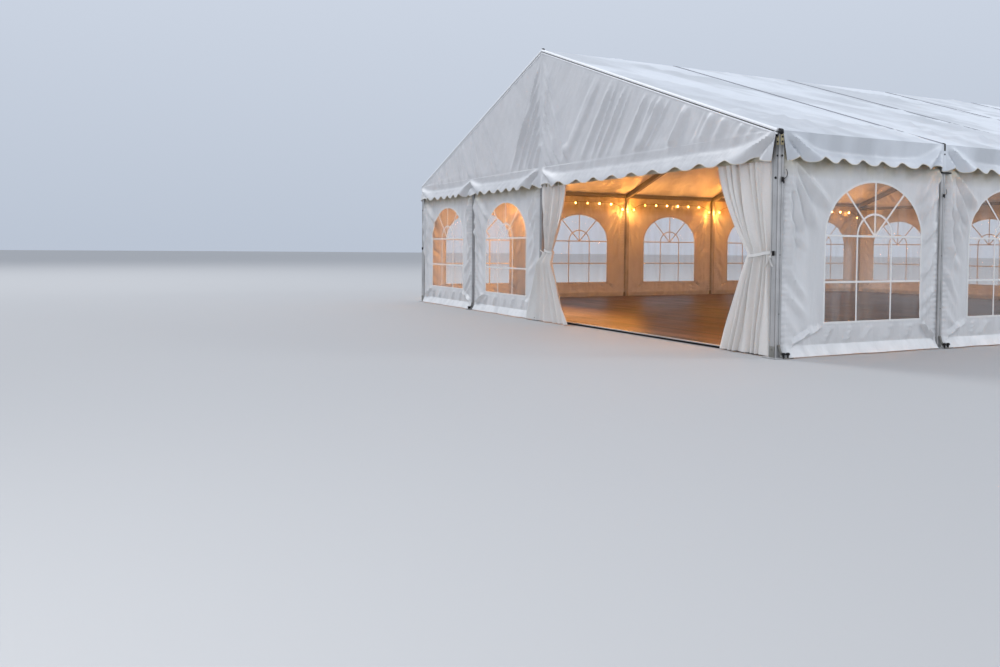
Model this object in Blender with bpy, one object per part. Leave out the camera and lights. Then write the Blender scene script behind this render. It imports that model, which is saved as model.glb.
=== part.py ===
"""Marquee tent: a frame marquee with a scalloped valance, arched windows and one open gable bay.

The tent is a clear-span aluminium frame of six portals, tied by five purlins that run its whole
length. One fabric cover spans each bay from valance to valance, a fabric gable closes each end,
and walls with clear arched windows hang between the legs. The right half of the front gable is
the entrance, with two tied curtains. A boarded floor lies inside.

Metres, +Z up. The origin is on the ground under the middle of the tent, the front gable faces -Y
and the ridge runs along Y.
"""

import math

import bmesh
import bpy
import numpy as np
from mathutils import Vector

# Frame
tent_width = 12.0  # across the tent, over the outer faces of the legs
bay_length = 3.0
bay_count = 5
eave_height = 2.80  # top of the frame at the outer face of a leg
ridge_height = 4.95  # top of the frame at the ridge
frame_depth = 0.13  # the leg and rafter section, in the plane of the portal
frame_width = 0.08  # the same section, along the ridge
base_plate_depth = 0.24
base_plate_width = 0.20
base_plate_thickness = 0.012

# Purlins
purlin_width = 0.06
purlin_depth = 0.08

# Gable posts and rail
gable_post_width = 0.08
gable_rail_drop = 0.10  # the rail's top below the eave height
gable_rail_depth = 0.08
gable_rail_setback = 0.003  # from the inner face of the posts

# Fabric
fabric_thickness = 0.003
film_thickness = 0.002
wall_recess = 0.03  # from the outer face of a leg in to the outer face of the wall
wall_top_drop = 0.03  # the side wall's top edge below the eave height
valance_drop = 0.36
scallop_depth = 0.07
scallops_per_bay = 8
entrance_scallops = 11
scallop_steps = 4
corner_reveal_top = 0.05  # how far a valance starts from the corner, at its fold
corner_reveal_bottom = 0.14

# Windows
window_width = 1.80
window_sill = 0.41
window_spring = 1.53
window_rise = 0.72
window_overlap = 0.02  # the film's margin behind the cloth
window_shift = 0.20  # the window of the first right-hand bay sits this far to the rear
arch_steps = 16

# Curtains of the entrance
curtain_top_width = 0.84
curtain_waist_width = 0.34
curtain_foot_width = 0.95
curtain_waist_height = 1.30
curtain_top_thickness = 0.05
curtain_waist_thickness = 0.09
curtain_foot_thickness = 0.06
curtain_waist_inset = 0.12  # from the post to the near side of the left curtain's waist
curtain_levels = 12
curtain_sides = 12

# Floor
floor_thickness = 0.045

# String lights
cable_radius = 0.004
bulb_radius = 0.020
bulb_length = 0.045
bulbs_per_bay = 8
light_drop = 0.22  # below the eave height, between the legs
light_dip = 0.20  # how much lower the cable passes each leg
light_dip_reach = 0.30
cable_sides = 6

# Pieces that touch keep this much between them
seat_gap = 0.0003

half_span = tent_width / 2
half_length = bay_length * bay_count / 2
pitch = math.atan2(ridge_height - eave_height, half_span)
frame_count = bay_count + 1
leg_inner_face = half_span - frame_depth
leg_middle = half_span - frame_depth / 2
wall_outer_face = half_span - wall_recess
wall_inner_face = wall_outer_face - fabric_thickness
gable_inset = half_length - wall_recess
valance_bottom = eave_height - valance_drop
wall_bottom = base_plate_thickness + seat_gap
side_wall_top = eave_height - wall_top_drop
gable_wall_top = eave_height - gable_rail_drop
gable_rail_underside = gable_wall_top - gable_rail_depth
quarter_line = half_span / 2  # the outer gable posts and the mid purlins stand on it
front_posts = [-quarter_line, 0.0]
rear_posts = [-quarter_line, 0.0, quarter_line]


def material(name, colour, roughness, metallic=0.0):
    """One finish for the pieces that share it."""
    made = bpy.data.materials.new(name)
    made.use_nodes = True
    shader = made.node_tree.nodes["Principled BSDF"]
    shader.inputs["Base Color"].default_value = (*colour, 1.0)
    shader.inputs["Roughness"].default_value = roughness
    shader.inputs["Metallic"].default_value = metallic
    return made


def roof_line(x):
    """Height of the frame's top face at a distance x from the ridge line."""
    return ridge_height - abs(x) * math.tan(pitch)


def rafter_underside(x):
    """Height of the rafter's lower face at a distance x from the ridge line."""
    return roof_line(x) - frame_depth / math.cos(pitch)


def frame_centre(index):
    """Y of a portal's middle; the end portals stand inside the tent's length."""
    if index == 0:
        return -half_length + frame_width / 2
    if index == bay_count:
        return half_length - frame_width / 2
    return -half_length + index * bay_length


def plate_mesh(name, loops, sweep):
    """A flat plate: the first loop is its outline, the others are holes, swept by a vector."""
    bm = bmesh.new()
    edges = []
    for loop in loops:
        verts = [bm.verts.new(point) for point in loop]
        for start, end in zip(verts, verts[1:] + verts[:1]):
            edges.append(bm.edges.new((start, end)))
    bmesh.ops.triangle_fill(bm, use_beauty=True, use_dissolve=False, edges=edges)
    swept = bmesh.ops.extrude_face_region(bm, geom=bm.faces[:])
    moved = [item for item in swept["geom"] if isinstance(item, bmesh.types.BMVert)]
    bmesh.ops.translate(bm, verts=moved, vec=sweep)
    bmesh.ops.recalc_face_normals(bm, faces=bm.faces[:])
    mesh = bpy.data.meshes.new(name)
    bm.to_mesh(mesh)
    bm.free()
    return mesh


def box_mesh(name, *boxes):
    """Closed boxes, each given by its lowest and highest corner."""
    bm = bmesh.new()
    for low, high in boxes:
        size = Vector(high) - Vector(low)
        cube = bmesh.ops.create_cube(bm, size=1.0)
        bmesh.ops.scale(bm, verts=cube["verts"], vec=size)
        bmesh.ops.translate(bm, verts=cube["verts"], vec=(Vector(high) + Vector(low)) / 2)
    mesh = bpy.data.meshes.new(name)
    bm.to_mesh(mesh)
    bm.free()
    return mesh


def place(name, mesh, finish, location=(0, 0, 0), turn=0.0):
    """One named piece of the tent, parented to the tent's empty."""
    piece = bpy.data.objects.new(name, mesh)
    bpy.context.scene.collection.objects.link(piece)
    piece.parent = tent
    piece.location = location
    piece.rotation_euler = (0, 0, turn)
    if not mesh.materials:
        mesh.materials.append(finish)
    return piece


def cutter(name, mesh):
    """A guide shape for a Boolean, left out of the finished tent."""
    guide = bpy.data.objects.new(name, mesh)
    bpy.context.scene.collection.objects.link(guide)
    guide.parent = tent
    guide.hide_render = True
    guide.display_type = "WIRE"
    return guide


def combine(piece, other, operation):
    """A Boolean modifier with the exact solver."""
    modifier = piece.modifiers.new(other.name, "BOOLEAN")
    modifier.object = other
    modifier.operation = operation
    modifier.solver = "EXACT"


def purlin_profile(middle, grow=0.0, rise=0.0):
    """Section of a purlin let into the frame's top face, its top along the roof line."""
    low = middle - purlin_width / 2 - grow
    high = middle + purlin_width / 2 + grow
    stations = [low, high]
    if low < 0 < high:
        stations = [low, 0.0, high]
    top = [(x, 0, roof_line(x) + rise) for x in stations]
    depth = purlin_depth + grow
    if len(stations) == 3:
        underside = [(high, 0, ridge_height - depth), (low, 0, ridge_height - depth)]
    else:
        underside = [(high, 0, roof_line(high) - depth), (low, 0, roof_line(low) - depth)]
    return top + underside


def add_purlins():
    """Five purlins along the whole tent, and the slots that seat them in the portals."""
    eave_middle = wall_inner_face - seat_gap - purlin_width / 2
    rows = {
        "ridge_purlin": 0.0,
        "mid_purlin_left": -quarter_line,
        "mid_purlin_right": quarter_line,
        "eave_purlin_left": -eave_middle,
        "eave_purlin_right": eave_middle,
    }
    slots = []
    for name, middle in rows.items():
        mesh = plate_mesh(name, [purlin_profile(middle)], Vector((0, 2 * half_length, 0)))
        place(name, mesh, aluminium, (0, -half_length, 0))
        slot_length = 2 * half_length + 2 * frame_width
        loop = purlin_profile(middle, grow=seat_gap, rise=purlin_depth)
        slot_mesh = plate_mesh(name + "_slot", [loop], Vector((0, slot_length, 0)))
        slot = cutter(name + "_slot", slot_mesh)
        slot.location = (0, -slot_length / 2, 0)
        slots.append(slot)
    return slots


def base_plate(x, y, depth, width):
    """Corners of the plate under a leg or a post, centred on x and y."""
    low = (x - depth / 2, y - width / 2, 0)
    high = (x + depth / 2, y + width / 2, base_plate_thickness)
    return low, high


def add_frames(slots):
    """Six portals: two legs, two rafters and two base plates, welded and bracketed as one."""
    foot = base_plate_thickness / 2
    loop = [
        (-half_span, 0, foot),
        (-half_span, 0, eave_height),
        (0, 0, ridge_height),
        (half_span, 0, eave_height),
        (half_span, 0, foot),
        (leg_inner_face, 0, foot),
        (leg_inner_face, 0, rafter_underside(leg_inner_face)),
        (0, 0, rafter_underside(0)),
        (-leg_inner_face, 0, rafter_underside(leg_inner_face)),
        (-leg_inner_face, 0, foot),
    ]
    mesh = plate_mesh("frame", [loop], Vector((0, frame_width, 0)))
    for index in range(frame_count):
        name = f"frame_{index + 1}"
        middle = frame_centre(index)
        frame = place(name, mesh, aluminium, (0, middle - frame_width / 2, 0))
        plates = box_mesh(
            name + "_plates",
            base_plate(-leg_middle, middle, base_plate_depth, base_plate_width),
            base_plate(leg_middle, middle, base_plate_depth, base_plate_width),
        )
        combine(frame, cutter(name + "_plates", plates), "UNION")
        for slot in slots:
            combine(frame, slot, "DIFFERENCE")


def gable_post_loop(x):
    """Outline of a gable post that runs from its base plate up under the rafter."""
    low = x - gable_post_width / 2
    high = x + gable_post_width / 2
    stations = [high, low]
    if low < 0 < high:
        stations = [high, 0.0, low]
    foot = base_plate_thickness / 2
    top = [(station, 0, rafter_underside(station) - seat_gap) for station in stations]
    return [(low, 0, foot), (high, 0, foot)] + top


def add_gable_posts(name, posts, side):
    """Posts under one end portal, joined by the rail that carries the end wall."""
    inner = half_length - frame_width
    rail_outer = gable_inset - fabric_thickness - seat_gap
    rail_inner = inner + gable_rail_setback
    reach = leg_inner_face - seat_gap
    span_y = sorted((side * rail_outer, side * rail_inner))
    low = (-reach, span_y[0], gable_rail_underside)
    high = (reach, span_y[1], gable_wall_top)
    piece = place(name, box_mesh(name, (low, high)), aluminium)
    plate_middle = inner + base_plate_width / 2
    for number, x in enumerate(posts, 1):
        mesh = plate_mesh(f"{name}_{number}", [gable_post_loop(x)], Vector((0, frame_width, 0)))
        post = cutter(f"{name}_post_{number}", mesh)
        post.location = (0, min(side * half_length, side * inner), 0)
        combine(piece, post, "UNION")
        corners = base_plate(x, side * plate_middle, base_plate_width, base_plate_width)
        plate = cutter(f"{name}_plate_{number}", box_mesh(f"{name}_plate_{number}", corners))
        combine(piece, plate, "UNION")


def scallop(phase):
    """Rise of a valance edge above its lobes: narrow arches between wide rounded lobes."""
    return scallop_depth * (0.5 - 0.5 * math.cos(2 * math.pi * phase)) ** 1.5


def scallop_row(start, end, count):
    """Stations along a valance edge with the height of the edge at each of them."""
    steps = count * scallop_steps
    row = []
    for step in range(steps + 1):
        share = step / steps
        position = start + (end - start) * share
        row.append((position, valance_bottom + scallop(share * count)))
    return row


def add_roof_covers():
    """One cover a bay: both slopes and the two side valances in one folded sheet."""
    lift = seat_gap / math.cos(pitch)
    fold_x = half_span + seat_gap
    end_y = half_length + seat_gap + fabric_thickness
    for bay in range(bay_count):
        fold = [-half_length + bay * bay_length + seat_gap]
        fold.append(fold[0] + bay_length - 2 * seat_gap)
        edge = list(fold)
        ridge = list(fold)
        if bay == 0:
            ridge[0] = -end_y
            fold[0] += corner_reveal_top
            edge[0] += corner_reveal_bottom
        if bay == bay_count - 1:
            ridge[1] = end_y
            fold[1] -= corner_reveal_top
            edge[1] -= corner_reveal_bottom
        bm = bmesh.new()
        top = [bm.verts.new((0, y, ridge_height + lift)) for y in ridge]
        for side in (-1, 1):
            row = scallop_row(edge[0], edge[1], scallops_per_bay)
            hem = [bm.verts.new((side * fold_x, y, z)) for y, z in row]
            bend = []
            for share in np.linspace(0, 1, len(row)):
                y = fold[0] + (fold[1] - fold[0]) * share
                bend.append(bm.verts.new((side * fold_x, y, roof_line(fold_x) + lift)))
            bm.faces.new(bend + [top[1], top[0]])
            for quad in zip(hem, hem[1:], bend[1:], bend):
                bm.faces.new(quad)
        bmesh.ops.recalc_face_normals(bm, faces=bm.faces[:])
        bm.faces.ensure_lookup_table()
        if bm.faces[0].normal.z < 0:
            bmesh.ops.reverse_faces(bm, faces=bm.faces[:])
        name = f"roof_cover_{bay + 1}"
        mesh = bpy.data.meshes.new(name)
        bm.to_mesh(mesh)
        bm.free()
        cover = place(name, mesh, roof_fabric)
        wall = cover.modifiers.new("thickness", "SOLIDIFY")
        wall.thickness = fabric_thickness
        wall.offset = 1.0
        wall.use_even_offset = True


def add_gable_cover(name, side, right_scallops, left_scallops):
    """The fabric triangle of one end, with the scalloped valance across its foot."""
    top = half_span - corner_reveal_top
    bottom = half_span - corner_reveal_bottom
    loop = [(-top, 0, roof_line(top)), (0, 0, ridge_height), (top, 0, roof_line(top))]
    right_half = scallop_row(bottom, 0.0, right_scallops)
    left_half = scallop_row(0.0, -bottom, left_scallops)
    loop += [(x, 0, z) for x, z in right_half + left_half[1:]]
    start = half_length + seat_gap
    if side < 0:
        start = -half_length - seat_gap - fabric_thickness
    mesh = plate_mesh(name, [loop], Vector((0, fabric_thickness, 0)))
    place(name, mesh, gable_fabric, (0, start, 0))


def arch_loop(middle, margin):
    """A window's outline: straight sides, then half an ellipse, grown by a margin."""
    half_width = window_width / 2 + margin
    sill = window_sill - margin
    loop = [(middle - half_width, 0, sill), (middle + half_width, 0, sill)]
    for step in range(arch_steps + 1):
        angle = math.pi * step / arch_steps
        x = middle + half_width * math.cos(angle)
        z = window_spring + (window_rise + margin) * math.sin(angle)
        loop.append((x, 0, z))
    return loop


def add_wall(number, wall, start, end, top, locate, turn, shift=0.0):
    """One wall panel between two uprights, and the clear film behind its window."""
    low = start + seat_gap
    high = end - seat_gap
    middle = (start + end) / 2 + shift
    outline = [(low, 0, wall_bottom), (high, 0, wall_bottom), (high, 0, top), (low, 0, top)]
    hole = arch_loop(middle, 0.0)
    panel = plate_mesh("wall", [outline, hole], Vector((0, fabric_thickness, 0)))
    place(f"wall_{wall}_{number}", panel, wall_fabric, locate(0.0), turn)
    pane = plate_mesh("window", [arch_loop(middle, window_overlap)], Vector((0, film_thickness, 0)))
    behind = fabric_thickness + seat_gap
    place(f"window_{wall}_{number}", pane, clear_film, locate(behind), turn)


def add_walls():
    """Five panels on each side, two beside the entrance and four across the rear."""
    quarter = math.pi / 2
    for bay in range(bay_count):
        start = frame_centre(bay) + frame_width / 2
        end = frame_centre(bay + 1) - frame_width / 2
        shift = window_shift if bay == 0 else 0.0
        add_wall(
            bay + 1, "right", start, end, side_wall_top,
            lambda inward: (wall_outer_face - inward, 0, 0), quarter, shift,
        )
        add_wall(
            bay + 1, "left", -end, -start, side_wall_top,
            lambda inward: (inward - wall_outer_face, 0, 0), -quarter,
        )
    half_post = gable_post_width / 2
    front = [-leg_inner_face] + front_posts
    for number, (left, right) in enumerate(zip(front, front[1:]), 1):
        start = left + (half_post if left in front_posts else 0.0)
        add_wall(
            number, "front", start, right - half_post, gable_wall_top,
            lambda inward: (0, inward - gable_inset, 0), 0.0,
        )
    rear = [-leg_inner_face] + rear_posts + [leg_inner_face]
    for number, (left, right) in enumerate(zip(rear, rear[1:]), 1):
        start = left + (half_post if left in rear_posts else 0.0)
        end = right - (half_post if right in rear_posts else 0.0)
        add_wall(
            number, "rear", -end, -start, gable_wall_top,
            lambda inward: (0, gable_inset - inward, 0), 2 * quarter,
        )


def add_curtain(name, post_face, side):
    """A curtain tied at its waist: oval sections between its hung top and its wide foot."""
    heights = np.linspace(wall_bottom, gable_rail_underside - seat_gap, curtain_levels)
    known = [wall_bottom, curtain_waist_height, gable_rail_underside]
    width = np.interp(heights, known, [curtain_foot_width, curtain_waist_width, curtain_top_width])
    inset = np.interp(heights, known, [seat_gap, curtain_waist_inset, seat_gap])
    thickness = np.interp(
        heights, known, [curtain_foot_thickness, curtain_waist_thickness, curtain_top_thickness]
    )
    middle_y = -half_length + frame_width / 2
    angles = np.linspace(0, 2 * math.pi, curtain_sides, endpoint=False)
    bm = bmesh.new()
    rings = []
    for z, wide, gap, thick in zip(heights, width, inset, thickness):
        middle_x = post_face + side * (gap + wide / 2)
        ring = []
        for angle in angles:
            x = middle_x + wide / 2 * math.cos(angle)
            y = middle_y + thick / 2 * math.sin(angle)
            ring.append(bm.verts.new((x, y, z)))
        rings.append(ring)
    for lower, upper in zip(rings, rings[1:]):
        for step in range(curtain_sides):
            after = (step + 1) % curtain_sides
            bm.faces.new((lower[step], lower[after], upper[after], upper[step]))
    bm.faces.new(list(reversed(rings[0])))
    bm.faces.new(rings[-1])
    bmesh.ops.recalc_face_normals(bm, faces=bm.faces[:])
    mesh = bpy.data.meshes.new(name)
    bm.to_mesh(mesh)
    bm.free()
    mesh.shade_smooth()
    mesh.set_sharp_from_angle(angle=math.radians(40))
    place(name, mesh, curtain_fabric)


def add_floor():
    """The boarded floor, butted to the base plates of the legs and to the gable posts."""
    reach = leg_middle - base_plate_depth / 2 - seat_gap
    end = half_length - frame_width - seat_gap
    mesh = box_mesh("floor_deck", ((-reach, -end, 0), (reach, end, floor_thickness)))
    place("floor_deck", mesh, boards)


def cable_height(y):
    """Height of the light cable: level under the purlin, with a dip at each leg."""
    nearest = min(abs(y - frame_centre(index)) for index in range(frame_count))
    dip = light_dip * math.exp(-((nearest / light_dip_reach) ** 2))
    return eave_height - light_drop - dip


def add_light_string(name, side):
    """A cable clipped along the legs, with a row of small lamps as beads on it."""
    spacing = bay_length / bulbs_per_bay
    end = half_length - frame_width
    stations = [(-end, cable_radius)]
    bead = [(-0.5, cable_radius), (-0.25, bulb_radius), (0.25, bulb_radius), (0.5, cable_radius)]
    for number in range(bay_count * bulbs_per_bay):
        middle = -half_length + (number + 0.5) * spacing
        stations += [(middle + share * bulb_length, radius) for share, radius in bead]
    stations.append((end, cable_radius))
    x = side * (leg_inner_face - seat_gap - cable_radius)
    angles = np.linspace(0, 2 * math.pi, cable_sides, endpoint=False)
    bm = bmesh.new()
    rings = []
    for y, radius in stations:
        z = cable_height(y)
        ring = []
        for angle in angles:
            point = (x + radius * math.cos(angle), y, z + radius * math.sin(angle))
            ring.append(bm.verts.new(point))
        rings.append(ring)
    for lower, upper in zip(rings, rings[1:]):
        for step in range(cable_sides):
            after = (step + 1) % cable_sides
            bm.faces.new((lower[step], lower[after], upper[after], upper[step]))
    bm.faces.new(rings[0])
    bm.faces.new(rings[-1])
    bmesh.ops.recalc_face_normals(bm, faces=bm.faces[:])
    mesh = bpy.data.meshes.new(name)
    bm.to_mesh(mesh)
    bm.free()
    place(name, mesh, lamp_glass)


for old in list(bpy.data.objects):
    bpy.data.objects.remove(old, do_unlink=True)

aluminium = material("anodised_aluminium", (0.55, 0.56, 0.56), 0.42, 0.9)
roof_fabric = material("roof_fabric", (0.82, 0.85, 0.89), 0.45)
gable_fabric = material("gable_fabric", (0.78, 0.79, 0.81), 0.5)
wall_fabric = material("wall_fabric", (0.80, 0.80, 0.80), 0.5)
curtain_fabric = material("curtain_fabric", (0.84, 0.81, 0.76), 0.6)
clear_film = material("clear_film", (0.85, 0.72, 0.55), 0.1)
boards = material("floor_boards", (0.28, 0.14, 0.07), 0.45)
lamp_glass = material("lamp_glass", (1.0, 0.78, 0.45), 0.3)

tent = bpy.data.objects.new("marquee_tent", None)
bpy.context.scene.collection.objects.link(tent)

purlin_slots = add_purlins()
add_frames(purlin_slots)
add_gable_posts("gable_posts_front", front_posts, -1)
add_gable_posts("gable_posts_rear", rear_posts, 1)
add_roof_covers()
half_gable_scallops = 2 * scallops_per_bay
add_gable_cover("gable_cover_front", -1, entrance_scallops, half_gable_scallops)
add_gable_cover("gable_cover_rear", 1, half_gable_scallops, half_gable_scallops)
add_walls()
add_curtain("curtain_left", gable_post_width / 2, 1)
add_curtain("curtain_right", leg_inner_face, -1)
add_floor()
add_light_string("light_string_left", -1)
add_light_string("light_string_right", 1)
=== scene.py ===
"""A marquee tent dressed around its frame: cloth, windows, curtains, fittings, floor and lamps.

Lengths are metres. The ridge runs along Y, the front gable faces -Y and the ground is z = 0.
Every piece is a surface worked out with numpy arrays, a function of two parameters on a grid or an
outline carried along a path. Places are read from the frame, so the pieces follow its sizes.
"""

import math

import bpy
import numpy as np
from bpy.props import FloatProperty, FloatVectorProperty, IntProperty, PointerProperty
from mathutils import Matrix, Vector


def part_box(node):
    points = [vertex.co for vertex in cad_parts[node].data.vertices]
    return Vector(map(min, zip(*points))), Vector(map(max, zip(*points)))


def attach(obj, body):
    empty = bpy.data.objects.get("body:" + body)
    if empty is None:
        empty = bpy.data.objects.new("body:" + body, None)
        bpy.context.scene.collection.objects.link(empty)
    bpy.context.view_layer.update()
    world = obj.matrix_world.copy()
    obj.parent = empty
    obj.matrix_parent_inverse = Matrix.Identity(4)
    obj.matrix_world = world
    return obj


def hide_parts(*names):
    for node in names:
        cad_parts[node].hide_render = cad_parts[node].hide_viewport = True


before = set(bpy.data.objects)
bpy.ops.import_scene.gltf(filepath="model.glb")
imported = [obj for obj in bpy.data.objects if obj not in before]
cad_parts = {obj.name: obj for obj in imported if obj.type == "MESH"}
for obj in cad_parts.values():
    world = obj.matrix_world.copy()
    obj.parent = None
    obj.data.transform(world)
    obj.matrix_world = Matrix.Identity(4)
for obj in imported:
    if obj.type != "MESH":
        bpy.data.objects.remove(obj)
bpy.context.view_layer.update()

bl_info = {
    "name": "Marquee Tent Dressing",
    "version": (1, 0, 0),
    "blender": (4, 5, 0),
    "location": "View3D > Sidebar > Marquee",
    "description": "Adds cloth, windows, curtains, fittings, a floor and lamps to a marquee frame",
    "category": "Add Mesh",
}


# Places read from the frame

def node_points(name):
    """The corners of a node of the frame, one row of x, y, z for each."""
    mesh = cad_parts[name].data
    points = np.empty(len(mesh.vertices) * 3)
    mesh.vertices.foreach_get("co", points)
    return points.reshape(-1, 3)


def rail_levels(side):
    """Heights of the underside and top of an end rail, from the corners of its node."""
    points = node_points(f"gable_posts_{side}")
    ends = points[np.abs(points[:, 0]) > LEG_INNER - 0.01]
    return ends[:, 2].min(), ends[:, 2].max()


KNEE = node_points("frame_1")
KNEE = KNEE[KNEE[:, 2] > 1.0]
RIDGE_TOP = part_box("ridge_purlin")[1].z
HALF_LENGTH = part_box("ridge_purlin")[1].y
HALF_WIDTH = KNEE[:, 0].max()
EAVE_TOP = KNEE[np.argmax(KNEE[:, 0]), 2]
LEG_INNER = np.abs(KNEE[:, 0])[np.abs(KNEE[:, 0]) > 0.9 * HALF_WIDTH].min()
LEG_DEPTH = HALF_WIDTH - LEG_INNER
LEG_WIDTH = np.ptp(KNEE[:, 1])
SLOPE = (RIDGE_TOP - EAVE_TOP) / HALF_WIDTH
PITCH = math.atan(SLOPE)
SLOPE_LENGTH = math.hypot(HALF_WIDTH, RIDGE_TOP - EAVE_TOP)
BAYS = sum(name.startswith("roof_cover_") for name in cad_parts)
PORTALS = [sum(corner.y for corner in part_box(f"frame_{i + 1}")) / 2 for i in range(BAYS + 1)]
BAY_LENGTH = 2 * HALF_LENGTH / BAYS
BAY_EDGES = [bay * BAY_LENGTH - HALF_LENGTH for bay in range(BAYS + 1)]
PLATE_TOP = np.sort(np.unique(node_points("frame_1")[:, 2].round(4)))[1]
PLATE_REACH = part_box("frame_1")[1].x
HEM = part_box("roof_cover_3")[0].z
DROP = EAVE_TOP - HEM
PLATE_HALF = np.ptp(node_points("frame_2")[:, 1]) / 2
POST_HALF = LEG_WIDTH / 2
RAIL_INSET, RAIL_DEPTH = 0.055, 0.044
POSTS = {"front": [-HALF_WIDTH / 2, 0.0], "rear": [-HALF_WIDTH / 2, 0.0, HALF_WIDTH / 2]}
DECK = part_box("floor_deck")
SIDES = {"right": (1, 0), "left": (-1, 0), "front": (0, -1), "rear": (0, 1)}
CURTAIN_TOP = rail_levels("front")[0]


def roof_line(x):
    """Height of the frame's top face at a distance x from the ridge line."""
    return RIDGE_TOP - np.abs(x) * SLOPE


def table(*columns):
    """Numbers and arrays of coordinates as one table of points, with a column for each."""
    return np.stack(np.broadcast_arrays(*columns), axis=-1)


def on_side(side, along, out, height):
    """Points on one side of the tent: along it to the right as seen from outside, out from the
    tent's middle and up. Each may be a number or an array."""
    nx, ny = SIDES[side]
    along, out = np.asarray(along), np.asarray(out)
    return table(out * nx - along * ny, out * ny + along * nx, height)


def outward(side):
    """The direction that one side of the tent faces."""
    return np.array([*SIDES[side], 0.0])


# Shapes

def smooth(low, high, x):
    """Rises from 0 to 1 between low and high, level at both ends: 3 s^2 - 2 s^3."""
    share = np.clip((x - low) / (high - low), 0, 1)
    return share * share * (3 - 2 * share)


def at_least(value, low, ease=0.008):
    """The greater of a value and a floor, rounded off between them by a hyperbola."""
    return low + 0.5 * (value - low + np.hypot(value - low, ease))


def ripples(p, q, seed, count, shortest, longest, heading, spread):
    """Rumpled cloth from -1 to 1: the mean of plane waves whose lengths lie between two values
    and whose headings lie within a spread of one direction, with a random phase each."""
    rng = np.random.default_rng(seed)
    total = np.zeros(np.broadcast(p, q).shape)
    for _ in range(count):
        length = shortest * (longest / shortest) ** rng.random()
        turn = heading + spread * (2 * rng.random() - 1)
        phase = 2 * math.pi * rng.random()
        way = p * np.cos(turn) + q * np.sin(turn)
        total += np.sin(2 * math.pi * way / length + phase)
    return total / count


def creases(p, q, lines):
    """Relief of soft folds along straight lines, each (start, end, width, depth). Across a line
    it is depth times (1 - r^2) exp(-r^2) with r the distance over the width, so each ridge has
    shallow valleys beside it. Along the line it rises quickly, lasts, and dies at the end."""
    relief = np.zeros(np.broadcast(p, q).shape)
    for (p0, q0), (p1, q1), width, depth in lines:
        run = math.hypot(p1 - p0, q1 - q0)
        along = ((p - p0) * (p1 - p0) + (q - q0) * (q1 - q0)) / run**2
        across = ((p - p0) * (q1 - q0) - (q - q0) * (p1 - p0)) / run
        square = (across / (width * (0.7 + 0.6 * np.clip(along, 0, 1)))) ** 2
        ends = smooth(0, 0.22, along) * (1 - smooth(0.65, 1.05, along))
        relief += depth * ends * (1 - square) * np.exp(-square)
    return relief


class Shell:
    """Points, face corners and face sizes held as arrays before they become a mesh."""

    def __init__(self, points, corners, sizes, cloth=None):
        self.points = np.asarray(points, float).reshape(-1, 3)
        self.corners = np.asarray(corners, int).ravel()
        self.sizes = np.asarray(sizes, int).ravel()
        self.cloth = np.zeros((len(self.points), 3)) if cloth is None else cloth.reshape(-1, 3)

    def __add__(self, other):
        return Shell(
            np.vstack([self.points, other.points]),
            np.concatenate([self.corners, other.corners + len(self.points)]),
            np.concatenate([self.sizes, other.sizes]),
            np.vstack([self.cloth, other.cloth]),
        )

    def turned_over(self):
        """The same shell with every face's corners in reverse order."""
        starts = np.cumsum(self.sizes) - self.sizes
        place = np.arange(len(self.corners)) - np.repeat(starts, self.sizes)
        mirrored = np.repeat(starts + self.sizes - 1, self.sizes) - place
        return Shell(self.points, self.corners[mirrored], self.sizes, self.cloth)

    def volume(self):
        """Six times the signed volume of a closed shell, from a fan of triangles in each face."""
        starts = np.cumsum(self.sizes) - self.sizes
        total = 0.0
        for step in range(1, self.sizes.max() - 1):
            long = self.sizes > step + 1
            a, b, c = (self.points[self.corners[starts[long] + k]] for k in (0, step, step + 1))
            total += (a * np.cross(b, c)).sum()
        return total

    def facing_out(self):
        return self if self.volume() > 0 else self.turned_over()

    def moved(self, shift=(0, 0, 0), turn=None):
        points = self.points if turn is None else self.points @ np.asarray(turn).T
        return Shell(points + np.asarray(shift), self.corners, self.sizes, self.cloth)


def joined(shells):
    """Many shells as one."""
    shells = list(shells)
    shift = np.cumsum([0] + [len(shell.points) for shell in shells[:-1]])
    return Shell(
        np.vstack([shell.points for shell in shells]),
        np.concatenate([shell.corners + n for shell, n in zip(shells, shift)]),
        np.concatenate([shell.sizes for shell in shells]),
        np.vstack([shell.cloth for shell in shells]),
    )


def grid(points, facing=None, cloth=None, wrap_rows=False, wrap_columns=False):
    """Quads over a table of points. A wrapped direction joins its last line to its first, and
    facing is the direction that the middle of the sheet should look."""
    rows, columns = points.shape[:2]
    index = np.arange(rows * columns).reshape(rows, columns)
    if wrap_rows:
        index = np.vstack([index, index[:1]])
    if wrap_columns:
        index = np.hstack([index, index[:, :1]])
    quads = np.stack([index[:-1, :-1], index[:-1, 1:], index[1:, 1:], index[1:, :-1]], axis=-1)
    shell = Shell(points, quads, np.full(quads.size // 4, 4), cloth)
    if facing is not None:
        a, b, c, d = (shell.points[quads[..., k].ravel()] for k in range(4))
        if (np.cross(c - a, d - b).sum(0) * np.asarray(facing)).sum() < 0:
            shell = shell.turned_over()
    return shell


def tube(rings):
    """A closed solid through a table of rings, with a flat face on each end."""
    count, sides = rings.shape[:2]
    body = grid(rings, wrap_columns=True)
    first = np.arange(sides)
    corners = np.concatenate([body.corners, first[::-1], first + (count - 1) * sides])
    return Shell(body.points, corners, np.concatenate([body.sizes, [sides, sides]])).facing_out()


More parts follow.
